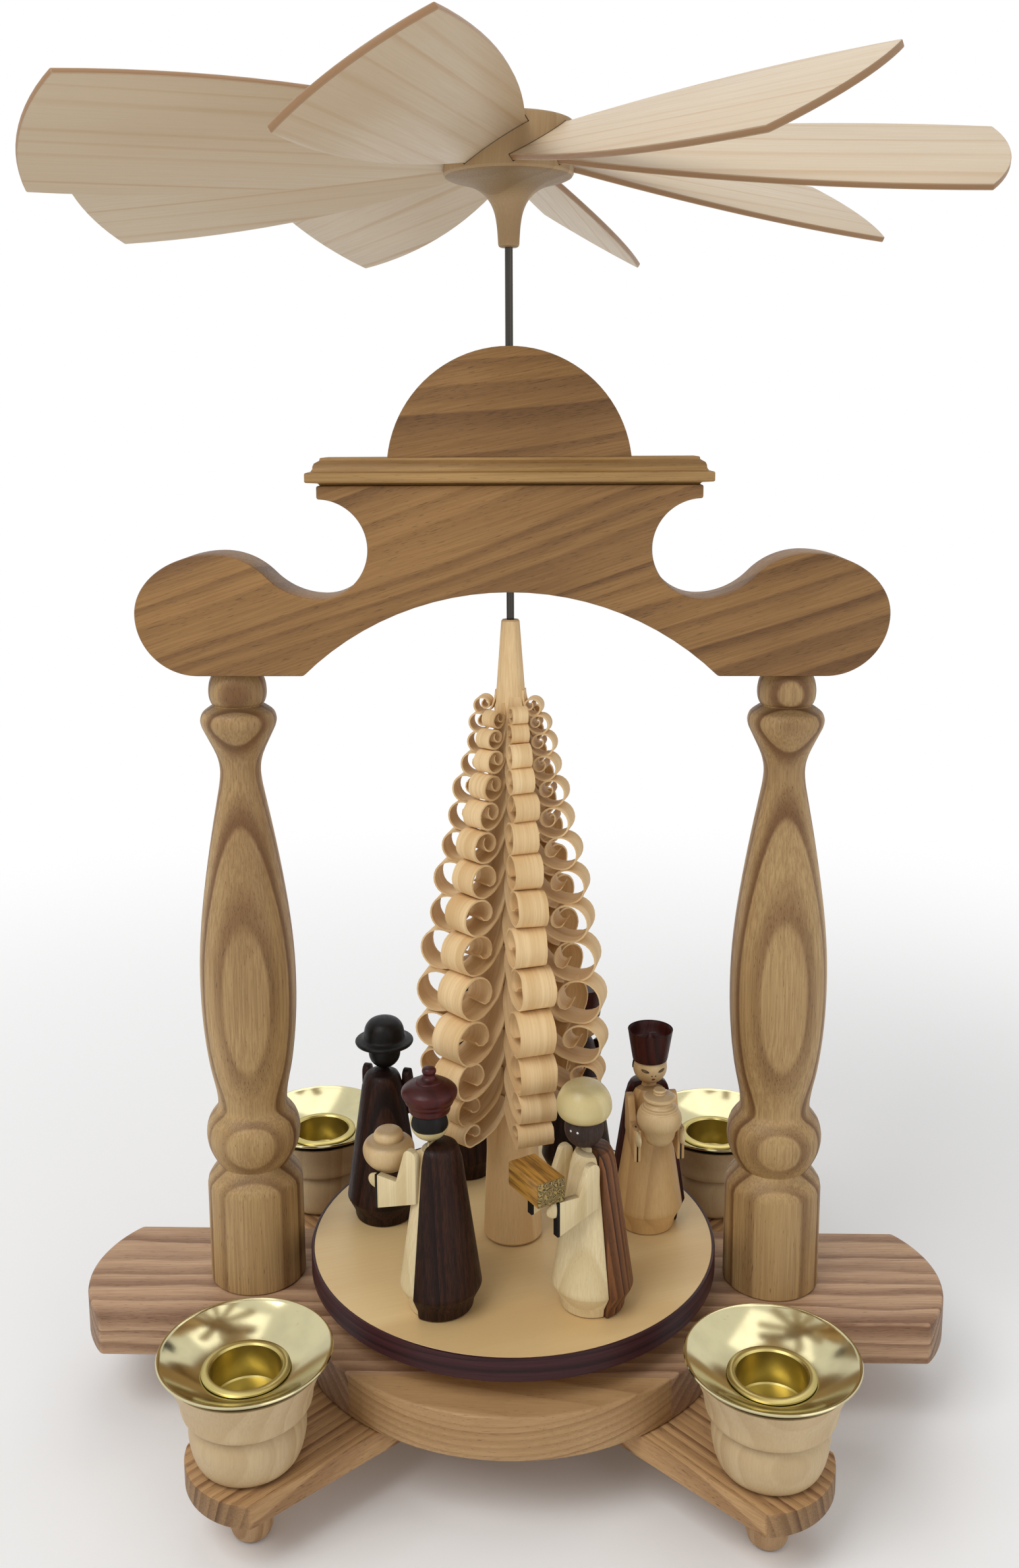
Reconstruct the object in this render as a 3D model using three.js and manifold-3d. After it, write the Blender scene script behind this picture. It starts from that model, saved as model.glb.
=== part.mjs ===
// A one-tier Christmas pyramid that candle heat turns. Sizes are in millimetres, angles in degrees.
// X runs across the front, Y to the back and Z up. The origin is on the floor, on the shaft's axis.
import * as THREE from "three";
import { mergeVertices } from "three/addons/utils/BufferGeometryUtils.js";
import Module from "manifold-3d";

const wasm = await Module();
wasm.setup();

// Clearances
const glueLine = 0.05; // film of glue between flat faces
const fitGap = 0.3; // room round pegs, tenons, laps and inlaid pieces
const runGap = 0.08; // play between the turning shaft and its bearings
const boreGap = 1.2; // room round the shaft where it only passes through
const tableSideGap = 2.8; // from the turntable's edge to a column
const cupSideGap = 9.6; // from the turntable's edge to a drip pan
const treeTopGap = 7.85; // from the tree's tip to the underside of the arch
const turnedEase = 0.6; // how far the sharp edges of a turned piece are eased
const arcStep = 14; // largest facet of a sawn curve
const pinSides = 10; // facets of pegs, pins and drills

// Feet and crossing arms
const footHeight = 14.6;
const footRadius = 5.7;
const footSoleRadius = 3.5;
const footSoleRise = 1.9;
const pegRadius = 3.4;
const pegDepthInCup = 5.5;
const armThickness = 6.3;
const armHalfWidth = 14.45;
const armBeyondCup = 14.9;
const armEndRadius = 20.2;
const armAngle = 43.4;

// Base plate
const plateThickness = 12;
const plateRadius = 60.7;
const wingBeyondColumn = 47.3;
const wingHalfWidth = 22;
const wingEndRadius = 34;

// Candle cups, drip pans and candle sockets
const cupSeatHeight = 22.4;
const cupBaseRadius = 10.2;
const cupWaistRadius = 14.1;
const cupWaistHeight = 8.5;
const cupRimRadius = 19;
const panRadius = 21.1;
const panRise = 6.2;
const brassThickness = 0.7;
const candleRadius = 8.5;
const socketDepth = 9.4;
const socketFlange = 2.1;
const socketFlangeRise = 1.1;
const dimpleRadius = 3;
const dimpleRise = 0.9;
const cupSides = 10;

// Columns
const blockRadius = 13.1;
const blockHeight = 31;
const grooveRadius = 11.3;
const ringRadius = 12.8;
const ringHeight = 21;
const vaseRadius = 12.9;
const vaseWaistRadius = 9.4;
const vaseNeckRadius = 5.3;
const capBeadRadius = 10;
const capHeight = 27.7;
const tenonRadius = 5;
const tenonLength = 8;
const columnSides = 10;

// Arch board, cornice and top block
const archThickness = 16;
const archHeight = 48.6;
const underArchInset = 18.8;
const underArchRise = 21.6;
const scrollRadius = 15.8;
const scrollOverhang = 8.5;
const scrollCrownOverhang = 3.5;
const scrollHeight = 31.4;
const dipInset = 23.4;
const dipHeight = 20;
const cutRadius = 12.6;
const corniceHeight = 6.9;
const corniceEndOverhang = 2.6;
const corniceFrontOverhang = 1.9;
const corniceCove = 3.5;
const topBlockRadius = 30.9;
const topBlockRise = 27.2;
const topBlockSetback = 0.4;

// Shaft, bearings and turntable
const shaftRadius = 1;
const shaftAboveTopBlock = 24.2;
const shaftPoint = 1.6;
const bearingRadius = 4;
const bearingHeight = 6.5;
const bearingAbovePlate = 1.5;
const bushRadius = 3;
const bushLength = 8;
const tableGap = 6.2;
const tableRadius = 56.1;
const tableThickness = 6.2;
const edgeBandThickness = 0.8;
const tableSides = 24;

// Shaving tree
const treeHeight = 173.3;
const trunkFootRadius = 8.3;
const trunkNeckRadius = 7;
const bareFootHeight = 26;
const coreTopRadius = 3.8;
const tipRadius = 2.3;
const bareTipHeight = 22;
const curlRows = 6;
const curlsPerRow = 13;
const firstRowAngle = -73;
const topCurlSize = 5.3;
const largestCurlSize = 11.8;
const lowestCurlSize = 6.6;
const topCurlReach = 9;
const widestCurlReach = 26;
const lowestCurlReach = 24;
const topCurlWidth = 4.2;
const lowestCurlWidth = 8.6;
const shavingThickness = 0.8;
const curlSpacing = 0.4;
const rootWidthShare = 0.4;

// Fan
const hubNoseRadius = 2.5;
const hubRadius = 16.1;
const hubFlareHeight = 16.6;
const hubDrumHeight = 16.4;
const hubSides = 16;
const bladeCount = 8;
const firstBladeAngle = -12.3;
const bladePitch = 30;
const bladeDroopAngle = 4;
const bladeReach = 118;
const bladeRoot = 9.9;
const bladeTongueHalfWidth = 9;
const bladeTipHalfWidth = 18;
const bladeTipArc = 4;
const bladeBelly = 4;
const bladeThickness = 1.6;
const bladeHeightOnHub = 24;

// Figures
const figureInset = 17.9;
const turbanKingHeight = 43.6;
const capKingHeight = 42.6;
const fezKingHeight = 42;
const attendantHeight = 43;
const kingHeadRadius = 5;
const fezHeadRadius = 4.7;
const bowlerHeadRadius = 4.5;
const robeFootRadius = 7.8;
const robeSkirtRadius = 10;
const robeShoulderRadius = 5;
const robeNeckRadius = 3;
const skirtHeight = 6.3;
const shoulderDrop = 3;
const cloakThickness = 1;
const cloakSeam = 1.2;
const headForward = 2.2;
const sleeveInside = 5;
const sleeveThickness = 2;
const sleeveReach = 14;
const sleeveDepth = 9.2;
const elbowForward = 8.2;
const shoulderForward = 4;
const shoulderRounding = 1.9;
const shoulderRise = 7.2;
const forearmTop = 35.2;
const handLength = 5;
const handHeight = 2.6;
const handShown = 4.1;
const handDrop = 2.4;
const boxRadius = 6.7;
const boxHeight = 10.9;
const boxSeat = 1.3;
const casketWidth = 14;
const casketDepth = 8;
const casketHeight = 6.4;
const jarRadius = 6.1;
const jarHeight = 15.4;
const jarSeat = 4;
const figureSides = 9;

// Levels that follow from the sizes above
const armBottom = footHeight + glueLine;
const armTop = armBottom + armThickness;
const plateBottom = armTop + glueLine;
const plateTop = plateBottom + plateThickness;
const tableBottom = plateTop + tableGap;
const tableTop = tableBottom + tableThickness;
const treeBottom = tableTop + glueLine;
const underArchTop = treeBottom + treeHeight + treeTopGap;
const archBottom = underArchTop - underArchRise;
const columnHeight = archBottom - plateTop - 2 * glueLine;
const vaseHeight = columnHeight - blockHeight - ringHeight - capHeight;
const archTop = archBottom + archHeight;
const corniceBottom = archTop + glueLine;
const corniceTop = corniceBottom + corniceHeight;
const topBlockBottom = corniceTop + glueLine;
const topBlockTop = topBlockBottom + topBlockRise;
const hubBottom = topBlockTop + shaftAboveTopBlock;
const hubTop = hubFlareHeight + hubDrumHeight;
const passRadius = shaftRadius + boreGap;
const gluedBoreRadius = shaftRadius + fitGap;
const panThroat = candleRadius + brassThickness + fitGap;
const panFlat = candleRadius + socketFlange + fitGap;
const panSlope = (panRise - brassThickness) / (panRadius - panFlat);
const panFloor = cupSeatHeight + fitGap;
const flangeBottom = panFloor + brassThickness + glueLine;
const flangeTop = flangeBottom + socketFlangeRise;
const socketFloor = flangeTop - socketDepth;

// Places across that follow from the sizes above
const columnDistance = tableRadius + tableSideGap + blockRadius;
const cupDistance = tableRadius + cupSideGap + panRadius;
const armReach = cupDistance + armBeyondCup;
const wingReach = columnDistance + wingBeyondColumn;
const figureRing = tableRadius - figureInset;
const underArchHalfSpan = columnDistance - underArchInset;
const scrollCrownX = columnDistance + scrollCrownOverhang;
const dipX = columnDistance - dipInset;
const corniceHalfLength = dipX + corniceEndOverhang;
const corniceHalfDepth = archThickness / 2 + corniceFrontOverhang;
const topBlockThickness = 2 * (corniceHalfDepth - corniceCove - topBlockSetback);

const radians = THREE.MathUtils.degToRad;
const mix = THREE.MathUtils.lerp;

// The solid that a closed geometry encloses.
function solidOf(geometry) {
  const bare = geometry.clone();
  bare.deleteAttribute("normal");
  bare.deleteAttribute("uv");
  const merged = mergeVertices(bare, 1e-4);
  const vertProperties = new Float32Array(merged.attributes.position.array);
  const triVerts = new Uint32Array(merged.index.array);
  return new wasm.Manifold(new wasm.Mesh({ numProp: 3, vertProperties, triVerts }));
}

// A flat-shaded geometry of a solid.
function geometryOf(solid) {
  const mesh = solid.getMesh();
  const geometry = new THREE.BufferGeometry();
  geometry.setAttribute("position", new THREE.BufferAttribute(new Float32Array(mesh.vertProperties), 3));
  geometry.setIndex(new THREE.BufferAttribute(new Uint32Array(mesh.triVerts), 1));
  const faceted = geometry.toNonIndexed();
  faceted.computeVertexNormals();
  return faceted;
}

// One geometry with others cut from it.
function cut(geometry, ...tools) {
  return geometryOf(tools.reduce((solid, tool) => solid.subtract(solidOf(tool)), solidOf(geometry)));
}

// Several geometries joined into one solid.
function join(geometry, ...others) {
  return geometryOf(others.reduce((solid, other) => solid.add(solidOf(other)), solidOf(geometry)));
}

// A turned piece about Z from [radius, height] points that run up its outside.
function turned(profile, sides) {
  const points = profile.map(([radius, height]) => new THREE.Vector2(radius, height));
  return new THREE.LatheGeometry(points, sides).rotateX(Math.PI / 2);
}

// A round bar or drill along Z. The flats of a bore lie at its radius, so a round shaft turns in it.
function bar(radius, bottom, top, sides = pinSides) {
  return turned([[0, bottom], [radius, bottom], [radius, top], [0, top]], sides);
}

function bore(radius, bottom, top, sides = pinSides) {
  return bar(radius / Math.cos(Math.PI / sides), bottom, top, sides);
}

// Points along an arc, or along a part of an ellipse when a height radius is given.
function arc(x, y, radius, from, to, heightRadius = radius, facet = arcStep) {
  const steps = Math.ceil(Math.abs(to - from) / facet);
  return Array.from({ length: steps + 1 }, (_, i) => {
    const angle = radians(mix(from, to, i / steps));
    return [x + radius * Math.cos(angle), y + heightRadius * Math.sin(angle)];
  });
}

// A sawn outline, with points that repeat the one before left out, cut to a thickness along Z.
function sawn(points, thickness) {
  const kept = points.filter(([x, y], i) => {
    const [lastX, lastY] = points[(i + points.length - 1) % points.length];
    return Math.hypot(x - lastX, y - lastY) > 1e-3;
  });
  const shape = new THREE.Shape(kept.map(([x, y]) => new THREE.Vector2(x, y)));
  return new THREE.ExtrudeGeometry(shape, { depth: thickness, bevelEnabled: false });
}

// A closed skin over rings of equally many points, with flat ends.
function lofted(rings) {
  const count = rings[0].length;
  const positions = rings.flat().flatMap((point) => point.toArray());
  const index = [];
  for (let ring = 0; ring + 1 < rings.length; ring += 1) {
    for (let i = 0; i < count; i += 1) {
      const a = ring * count + i;
      const b = ring * count + ((i + 1) % count);
      index.push(a, b, b + count, a, b + count, a + count);
    }
  }
  const last = (rings.length - 1) * count;
  for (let i = 1; i + 1 < count; i += 1) {
    index.push(0, i + 1, i, last, last + i, last + i + 1);
  }
  const geometry = new THREE.BufferGeometry();
  geometry.setAttribute("position", new THREE.Float32BufferAttribute(positions, 3));
  geometry.setIndex(index);
  return geometry;
}

const finishes = {
  ash: { color: 0xb08d60, roughness: 0.6, metalness: 0 },
  paleMaple: { color: 0xd9c193, roughness: 0.55, metalness: 0 },
  limeWood: { color: 0xdcb98a, roughness: 0.65, metalness: 0 },
  walnut: { color: 0x3a2219, roughness: 0.5, metalness: 0 },
  padouk: { color: 0x4c1a1a, roughness: 0.45, metalness: 0 },
  ebony: { color: 0x17110e, roughness: 0.4, metalness: 0 },
  ivoryMaple: { color: 0xe6d8a6, roughness: 0.4, metalness: 0 },
  goldenBurr: { color: 0xa57a2f, roughness: 0.45, metalness: 0 },
  brass: { color: 0xb8a35a, roughness: 0.25, metalness: 1 },
  steel: { color: 0x8a8884, roughness: 0.25, metalness: 1 },
};

// A named piece in one of the finishes above.
function piece(name, geometry, finish) {
  const mesh = new THREE.Mesh(geometry, new THREE.MeshStandardMaterial(finishes[finish]));
  mesh.name = name;
  return mesh;
}

const pyramid = new THREE.Group();

// Crossing arms: two boards with round ends, half-lapped where they cross under the middle.
function armOutline(halfWidth) {
  const corner = THREE.MathUtils.radToDeg(Math.asin(armHalfWidth / armEndRadius));
  const centre = armReach - armEndRadius;
  const scale = halfWidth / armHalfWidth;
  return [
    ...arc(centre, 0, armEndRadius, -corner, corner),
    ...arc(-centre, 0, armEndRadius, 180 - corner, 180 + corner),
  ].map(([x, y]) => [x, y * scale]);
}

function crossArm(name, angle, lapBottom) {
  const lap = sawn(armOutline(armHalfWidth + fitGap), armThickness / 2 + 2 * glueLine);
  lap.rotateZ(radians(-2 * angle));
  lap.translate(0, 0, lapBottom);
  const pegHoles = [-cupDistance, cupDistance].map((x) => {
    return bar(pegRadius + fitGap, -1, armThickness + 1).translate(x, 0, 0);
  });
  const arm = piece(name, cut(sawn(armOutline(armHalfWidth), armThickness), lap, ...pegHoles), "ash");
  arm.position.z = armBottom;
  arm.rotation.z = radians(angle);
  pyramid.add(arm);
}

crossArm("cross_arm_lower", armAngle, armThickness / 2 - glueLine);
crossArm("cross_arm_upper", -armAngle, -glueLine);

// Feet: turned balls, each with a peg that goes up through its arm into the candle cup.
const foot = turned(
  [
    [0, 0],
    [footSoleRadius, 0],
    [footRadius - turnedEase, footSoleRise],
    [footRadius, footHeight / 2],
    [footRadius - turnedEase, footHeight],
    [pegRadius, footHeight],
    [pegRadius, footHeight + armThickness + pegDepthInCup],
    [0, footHeight + armThickness + pegDepthInCup],
  ],
  pinSides,
);

// Candle cups: turned, with a waist bead, a dished top under the pan and a bore for the socket.
const socketBoreBottom = socketFloor - brassThickness - fitGap;
const cup = turned(
  [
    [0, pegDepthInCup + fitGap],
    [pegRadius + fitGap, pegDepthInCup + fitGap],
    [pegRadius + fitGap, 0],
    [cupBaseRadius, 0],
    [mix(cupBaseRadius, cupWaistRadius, 0.5), 0.19 * cupWaistHeight],
    [mix(cupBaseRadius, cupWaistRadius, 0.85), 0.58 * cupWaistHeight],
    [cupWaistRadius, cupWaistHeight],
    [mix(cupWaistRadius, cupRimRadius, 0.3), mix(cupWaistHeight, cupSeatHeight, 0.13)],
    [mix(cupWaistRadius, cupRimRadius, 0.7), mix(cupWaistHeight, cupSeatHeight, 0.62)],
    [cupRimRadius, cupSeatHeight + (cupRimRadius - panFlat) * panSlope],
    [panFlat, cupSeatHeight],
    [panThroat, cupSeatHeight],
    [panThroat, socketBoreBottom],
    [0, socketBoreBottom],
  ],
  cupSides,
);

// Drip pans: spun brass dishes that lie in the cup's dished top.
const panLip = panFloor + panRise;
const pan = turned(
  [
    [panThroat, panFloor],
    [panFlat, panFloor],
    [panRadius, panLip - brassThickness],
    [panRadius, panLip],
    [panRadius - brassThickness, panLip],
    [panFlat - (brassThickness * panSlope) / 2, panFloor + brassThickness],
    [panThroat, panFloor + brassThickness],
    [panThroat, panFloor],
  ],
  cupSides,
);

// Candle sockets: drawn brass cups whose flange holds the pan down, with a raised dimple in the floor.
const socket = turned(
  [
    [0, socketFloor - brassThickness],
    [candleRadius + brassThickness, socketFloor - brassThickness],
    [candleRadius + brassThickness, flangeBottom],
    [candleRadius + socketFlange, flangeBottom],
    [candleRadius + 0.7 * socketFlange, flangeTop],
    [candleRadius, mix(flangeBottom, flangeTop, 0.45)],
    [candleRadius, socketFloor],
    [dimpleRadius, socketFloor],
    [0, socketFloor + dimpleRise],
  ],
  cupSides,
);

for (const [side, sideSign] of [["left", -1], ["right", 1]]) {
  for (const [row, rowSign] of [["front", -1], ["back", 1]]) {
    const place = new THREE.Group();
    const x = sideSign * cupDistance * Math.cos(radians(armAngle));
    const y = rowSign * cupDistance * Math.sin(radians(armAngle));
    place.position.set(x, y, 0);
    const upper = new THREE.Group();
    upper.position.z = armTop + glueLine;
    upper.add(piece(`candle_cup_${row}_${side}`, cup, "paleMaple"));
    upper.add(piece(`drip_pan_${row}_${side}`, pan, "brass"));
    upper.add(piece(`candle_socket_${row}_${side}`, socket, "brass"));
    place.add(piece(`foot_${row}_${side}`, foot, "ash"), upper);
    pyramid.add(place);
  }
}

// Base plate: a round middle with a wing on each side, bored for the columns and the bottom bearing.
function basePlate() {
  const inWing = THREE.MathUtils.radToDeg(Math.asin(wingHalfWidth / wingEndRadius));
  const inDisc = THREE.MathUtils.radToDeg(Math.asin(wingHalfWidth / plateRadius));
  const endCentre = wingReach - wingEndRadius;
  const board = sawn(
    [
      ...arc(endCentre, 0, wingEndRadius, -inWing, inWing),
      ...arc(0, 0, plateRadius, inDisc, 180 - inDisc),
      ...arc(-endCentre, 0, wingEndRadius, 180 - inWing, 180 + inWing),
      ...arc(0, 0, plateRadius, 180 + inDisc, 360 - inDisc),
    ],
    plateThickness,
  );
  const mortiseBottom = plateThickness - tenonLength - fitGap;
  const mortises = [-columnDistance, columnDistance].map((x) => {
    return bar(tenonRadius + fitGap, mortiseBottom, plateThickness + 1).translate(x, 0, 0);
  });
  const bearingSeat = plateThickness - bearingHeight + bearingAbovePlate - fitGap;
  const seat = bar(bearingRadius + fitGap, bearingSeat, plateThickness + 1);
  const plate = piece("base_plate", cut(board, ...mortises, seat), "ash");
  plate.position.z = plateBottom;
  return plate;
}
pyramid.add(basePlate());

// Columns: a plain block, a ring between two grooves, a long vase and a double bead.
// A tenon at each end goes into the base plate and the arch board.
function columnProfile() {
  const ringBottom = blockHeight;
  const vaseBottom = ringBottom + ringHeight;
  const capBottom = vaseBottom + vaseHeight;
  const vase = new THREE.SplineCurve(
    [
      [vaseWaistRadius, 0],
      [mix(vaseWaistRadius, vaseRadius, 0.53), 0.13],
      [mix(vaseWaistRadius, vaseRadius, 0.88), 0.27],
      [vaseRadius, 0.41],
      [mix(vaseNeckRadius, vaseRadius, 0.78), 0.71],
      [mix(vaseNeckRadius, vaseRadius, 0.44), 0.86],
      [vaseNeckRadius, 1],
    ].map(([radius, share]) => new THREE.Vector2(radius, vaseBottom + share * vaseHeight)),
  );
  return [
    [blockRadius, 0],
    [blockRadius, blockHeight],
    [grooveRadius, ringBottom + 0.17 * ringHeight],
    [mix(grooveRadius, ringRadius, 0.4), ringBottom + 0.42 * ringHeight],
    [ringRadius, ringBottom + 0.63 * ringHeight],
    [mix(grooveRadius, ringRadius, 0.4), ringBottom + 0.8 * ringHeight],
    ...vase.getPoints(7).map((point) => [point.x, point.y]),
    [mix(vaseNeckRadius, capBeadRadius, 0.75), capBottom + 0.27 * capHeight],
    [capBeadRadius, capBottom + 0.54 * capHeight],
    [mix(vaseNeckRadius, capBeadRadius, 0.23), capBottom + 0.67 * capHeight],
    [mix(vaseNeckRadius, capBeadRadius, 0.42), capBottom + 0.83 * capHeight],
    [mix(vaseNeckRadius, capBeadRadius, 0.06), columnHeight],
  ];
}

const column = turned(
  [
    [0, -tenonLength],
    [tenonRadius, -tenonLength],
    [tenonRadius, 0],
    ...columnProfile(),
    [tenonRadius, columnHeight],
    [tenonRadius, columnHeight + tenonLength],
    [0, columnHeight + tenonLength],
  ],
  columnSides,
);
for (const [side, sideSign] of [["left", -1], ["right", 1]]) {
  const post = piece(`column_${side}`, column, "ash");
  post.position.set(sideSign * columnDistance, 0, plateTop + glueLine);
  pyramid.add(post);
}

// Arch board: the right half of its outline, from the middle of the arch to the top corner.
function archHalf() {
  const underArchRadius = (underArchHalfSpan ** 2 + underArchRise ** 2) / (2 * underArchRise);
  const spring = THREE.MathUtils.radToDeg(Math.acos(underArchHalfSpan / underArchRadius));
  const scrollX = columnDistance + scrollOverhang;
  const scrollReach = scrollX + scrollRadius - scrollCrownX;
  const sweepRun = scrollCrownX - dipX;
  const sweepDrop = scrollHeight - dipHeight;
  const sweepRadius = (sweepRun ** 2 + sweepDrop ** 2) / (4 * sweepDrop);
  const sweepTurn = THREE.MathUtils.radToDeg(Math.asin(sweepRun / 2 / sweepRadius));
  return [
    ...arc(0, underArchRise - underArchRadius, underArchRadius, 90, spring),
    ...arc(scrollX, scrollRadius, scrollRadius, -90, 0),
    ...arc(scrollCrownX, scrollRadius, scrollReach, 0, 90, scrollHeight - scrollRadius),
    ...arc(scrollCrownX, scrollHeight - sweepRadius, sweepRadius, 90, 90 + sweepTurn),
    ...arc(dipX, dipHeight + sweepRadius, sweepRadius, sweepTurn - 90, -90),
    ...arc(dipX, dipHeight + cutRadius, cutRadius, -90, -270),
    [dipX, archHeight],
  ];
}

function archBoard() {
  const half = archHalf();
  const mirrored = half.slice(1).reverse().map(([x, z]) => [-x, z]);
  const board = sawn([...half, ...mirrored], archThickness);
  board.rotateX(Math.PI / 2).translate(0, archThickness / 2, 0);
  const mortises = [-columnDistance, columnDistance].map((x) => {
    return bar(tenonRadius + fitGap, -1, tenonLength + fitGap).translate(x, 0, 0);
  });
  const passage = bar(passRadius, 0, archHeight + 1);
  const bushSeat = bar(bushRadius + fitGap, 0, underArchRise + bushLength + 2 * fitGap);
  const arch = piece("arch_board", cut(board, ...mortises, passage, bushSeat), "ash");
  arch.position.z = archBottom;
  return arch;
}
pyramid.add(archBoard());

// Cornice: a moulded strip with a cove all round its upper edge.
function cornice() {
  const steps = [
    [0.9, 0],
    [0, 0.12],
    [0, 0.45],
    [0.45, 0.52],
    [0.5, 0.7],
    [1, 0.86],
    [1, 1],
  ];
  const rings = steps.map(([inset, share]) => {
    const x = corniceHalfLength - inset * corniceCove;
    const y = corniceHalfDepth - inset * corniceCove;
    const z = share * corniceHeight;
    return [[-x, -y], [x, -y], [x, y], [-x, y]].map(([px, py]) => new THREE.Vector3(px, py, z));
  });
  const passage = bar(passRadius, -1, corniceHeight + 1);
  const moulding = piece("cornice_moulding", cut(lofted(rings), passage), "ash");
  moulding.position.z = corniceBottom;
  return moulding;
}
pyramid.add(cornice());

// Top block: a half-round board that stands on the cornice.
function topBlock() {
  const drop = topBlockRadius - topBlockRise;
  const start = THREE.MathUtils.radToDeg(Math.asin(drop / topBlockRadius));
  const board = sawn(arc(0, -drop, topBlockRadius, start, 180 - start), topBlockThickness);
  board.rotateX(Math.PI / 2).translate(0, topBlockThickness / 2, 0);
  const block = piece("top_block", cut(board, bar(passRadius, -1, topBlockRise + 1)), "ash");
  block.position.z = topBlockBottom;
  return block;
}
pyramid.add(topBlock());

// Bearings: a brass cup in the base plate for the shaft's point, and a brass bush in the arch board.
const bearingCup = cut(
  bar(bearingRadius, 0, bearingHeight),
  bore(shaftRadius + runGap, bearingHeight / 2, bearingHeight + 1),
);
const bottomBearing = piece("bottom_bearing", bearingCup, "brass");
bottomBearing.position.z = plateTop + bearingAbovePlate - bearingHeight;
const guideBush = piece(
  "guide_bush",
  cut(bar(bushRadius, 0, bushLength), bore(shaftRadius + runGap, -1, bushLength + 1)),
  "brass",
);
guideBush.position.z = underArchTop + fitGap;
pyramid.add(bottomBearing, guideBush);

// Everything below turns with the shaft.
const rotor = new THREE.Group();
pyramid.add(rotor);

// Shaft: a steel rod with a turned point, from the bottom bearing up into the hub.
const shaftBottom = bottomBearing.position.z + bearingHeight / 2 + fitGap;
const shaftTop = hubBottom + hubFlareHeight + hubDrumHeight / 2;
rotor.add(
  piece(
    "shaft",
    turned(
      [
        [0, shaftBottom],
        [shaftRadius / 4, shaftBottom],
        [shaftRadius, shaftBottom + shaftPoint],
        [shaftRadius, shaftTop],
        [0, shaftTop],
      ],
      pinSides,
    ),
    "steel",
  ),
);

// Turntable: a round board with a dark veneer band glued round its edge.
const tableDisc = cut(
  bar(tableRadius - edgeBandThickness - fitGap, 0, tableThickness, tableSides),
  bar(gluedBoreRadius, -1, tableThickness + 1),
);
const edgeBand = turned(
  [
    [tableRadius - edgeBandThickness, 0],
    [tableRadius, 0],
    [tableRadius, tableThickness],
    [tableRadius - edgeBandThickness, tableThickness],
    [tableRadius - edgeBandThickness, 0],
  ],
  tableSides,
);
const table = new THREE.Group();
table.position.z = tableBottom;
table.add(piece("turntable", tableDisc, "paleMaple"), piece("turntable_edge_band", edgeBand, "walnut"));
rotor.add(table);

// Shaving tree: a turned cone whose shavings are still on it, curled outwards in upright rows.
function coreRadius(z) {
  const share = (z - bareFootHeight) / (treeHeight - bareTipHeight - bareFootHeight);
  return mix(trunkNeckRadius, coreTopRadius, THREE.MathUtils.clamp(share, 0, 1));
}

// Sizes of one row's curls from the top down: they swell to the largest, then shrink again near the foot.
function curlRow() {
  const largest = Math.round(0.75 * (curlsPerRow - 1));
  let z = treeHeight - bareTipHeight - topCurlSize / 2;
  let above = topCurlSize;
  return Array.from({ length: curlsPerRow }, (_, i) => {
    const rise = Math.min(i / largest, 1);
    const fall = Math.max(i - largest, 0) / (curlsPerRow - 1 - largest);
    const size = mix(mix(topCurlSize, largestCurlSize, rise), lowestCurlSize, fall);
    const swell = mix(topCurlReach, widestCurlReach, rise ** 1.15);
    const reach = mix(swell, lowestCurlReach, fall);
    if (i > 0) z -= (above + size) / 2 + curlSpacing;
    above = size;
    return { z, size, reach, width: mix(topCurlWidth, lowestCurlWidth, rise) };
  });
}

// The line of one shaving: down from its root on the core, out under the curl, up, over and in.
function shavingLine({ z, size, reach }) {
  const radius = (size - shavingThickness) / 2;
  const centre = reach - size / 2;
  const onLoop = (angle, share) => {
    const turn = radians(angle);
    return new THREE.Vector2(centre + share * radius * Math.cos(turn), z + share * radius * Math.sin(turn));
  };
  const root = new THREE.Vector2(coreRadius(z + 0.8 * size) - shavingThickness, z + 0.8 * size);
  const start = onLoop(236, 1);
  const bend = new THREE.Vector2(mix(root.x, start.x, 0.25), start.y + 0.3 * (start.x - root.x));
  const scoop = new THREE.QuadraticBezierCurve(root, bend, start).getPoints(2);
  const loop = [[304, 1], [14, 1], [84, 1], [156, 0.9], [236, 0.6]];
  return [...scoop, ...loop.map(([angle, share]) => onLoop(angle, share))];
}

// A thin strip that follows a line in the plane of its row, narrow where it still hangs on the core.
function shaving(line, fullWidth) {
  const rings = line.map((point, i) => {
    const width = fullWidth * mix(rootWidthShare, 1, Math.min(i / 2, 1));
    const before = line[Math.max(i - 1, 0)];
    const after = line[Math.min(i + 1, line.length - 1)];
    const along = after.clone().sub(before).normalize();
    const normal = new THREE.Vector2(-along.y, along.x).multiplyScalar(shavingThickness / 2);
    const inner = point.clone().add(normal);
    const outer = point.clone().sub(normal);
    return [
      new THREE.Vector3(outer.x, -width / 2, outer.y),
      new THREE.Vector3(outer.x, width / 2, outer.y),
      new THREE.Vector3(inner.x, width / 2, inner.y),
      new THREE.Vector3(inner.x, -width / 2, inner.y),
    ];
  });
  return lofted(rings);
}

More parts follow.
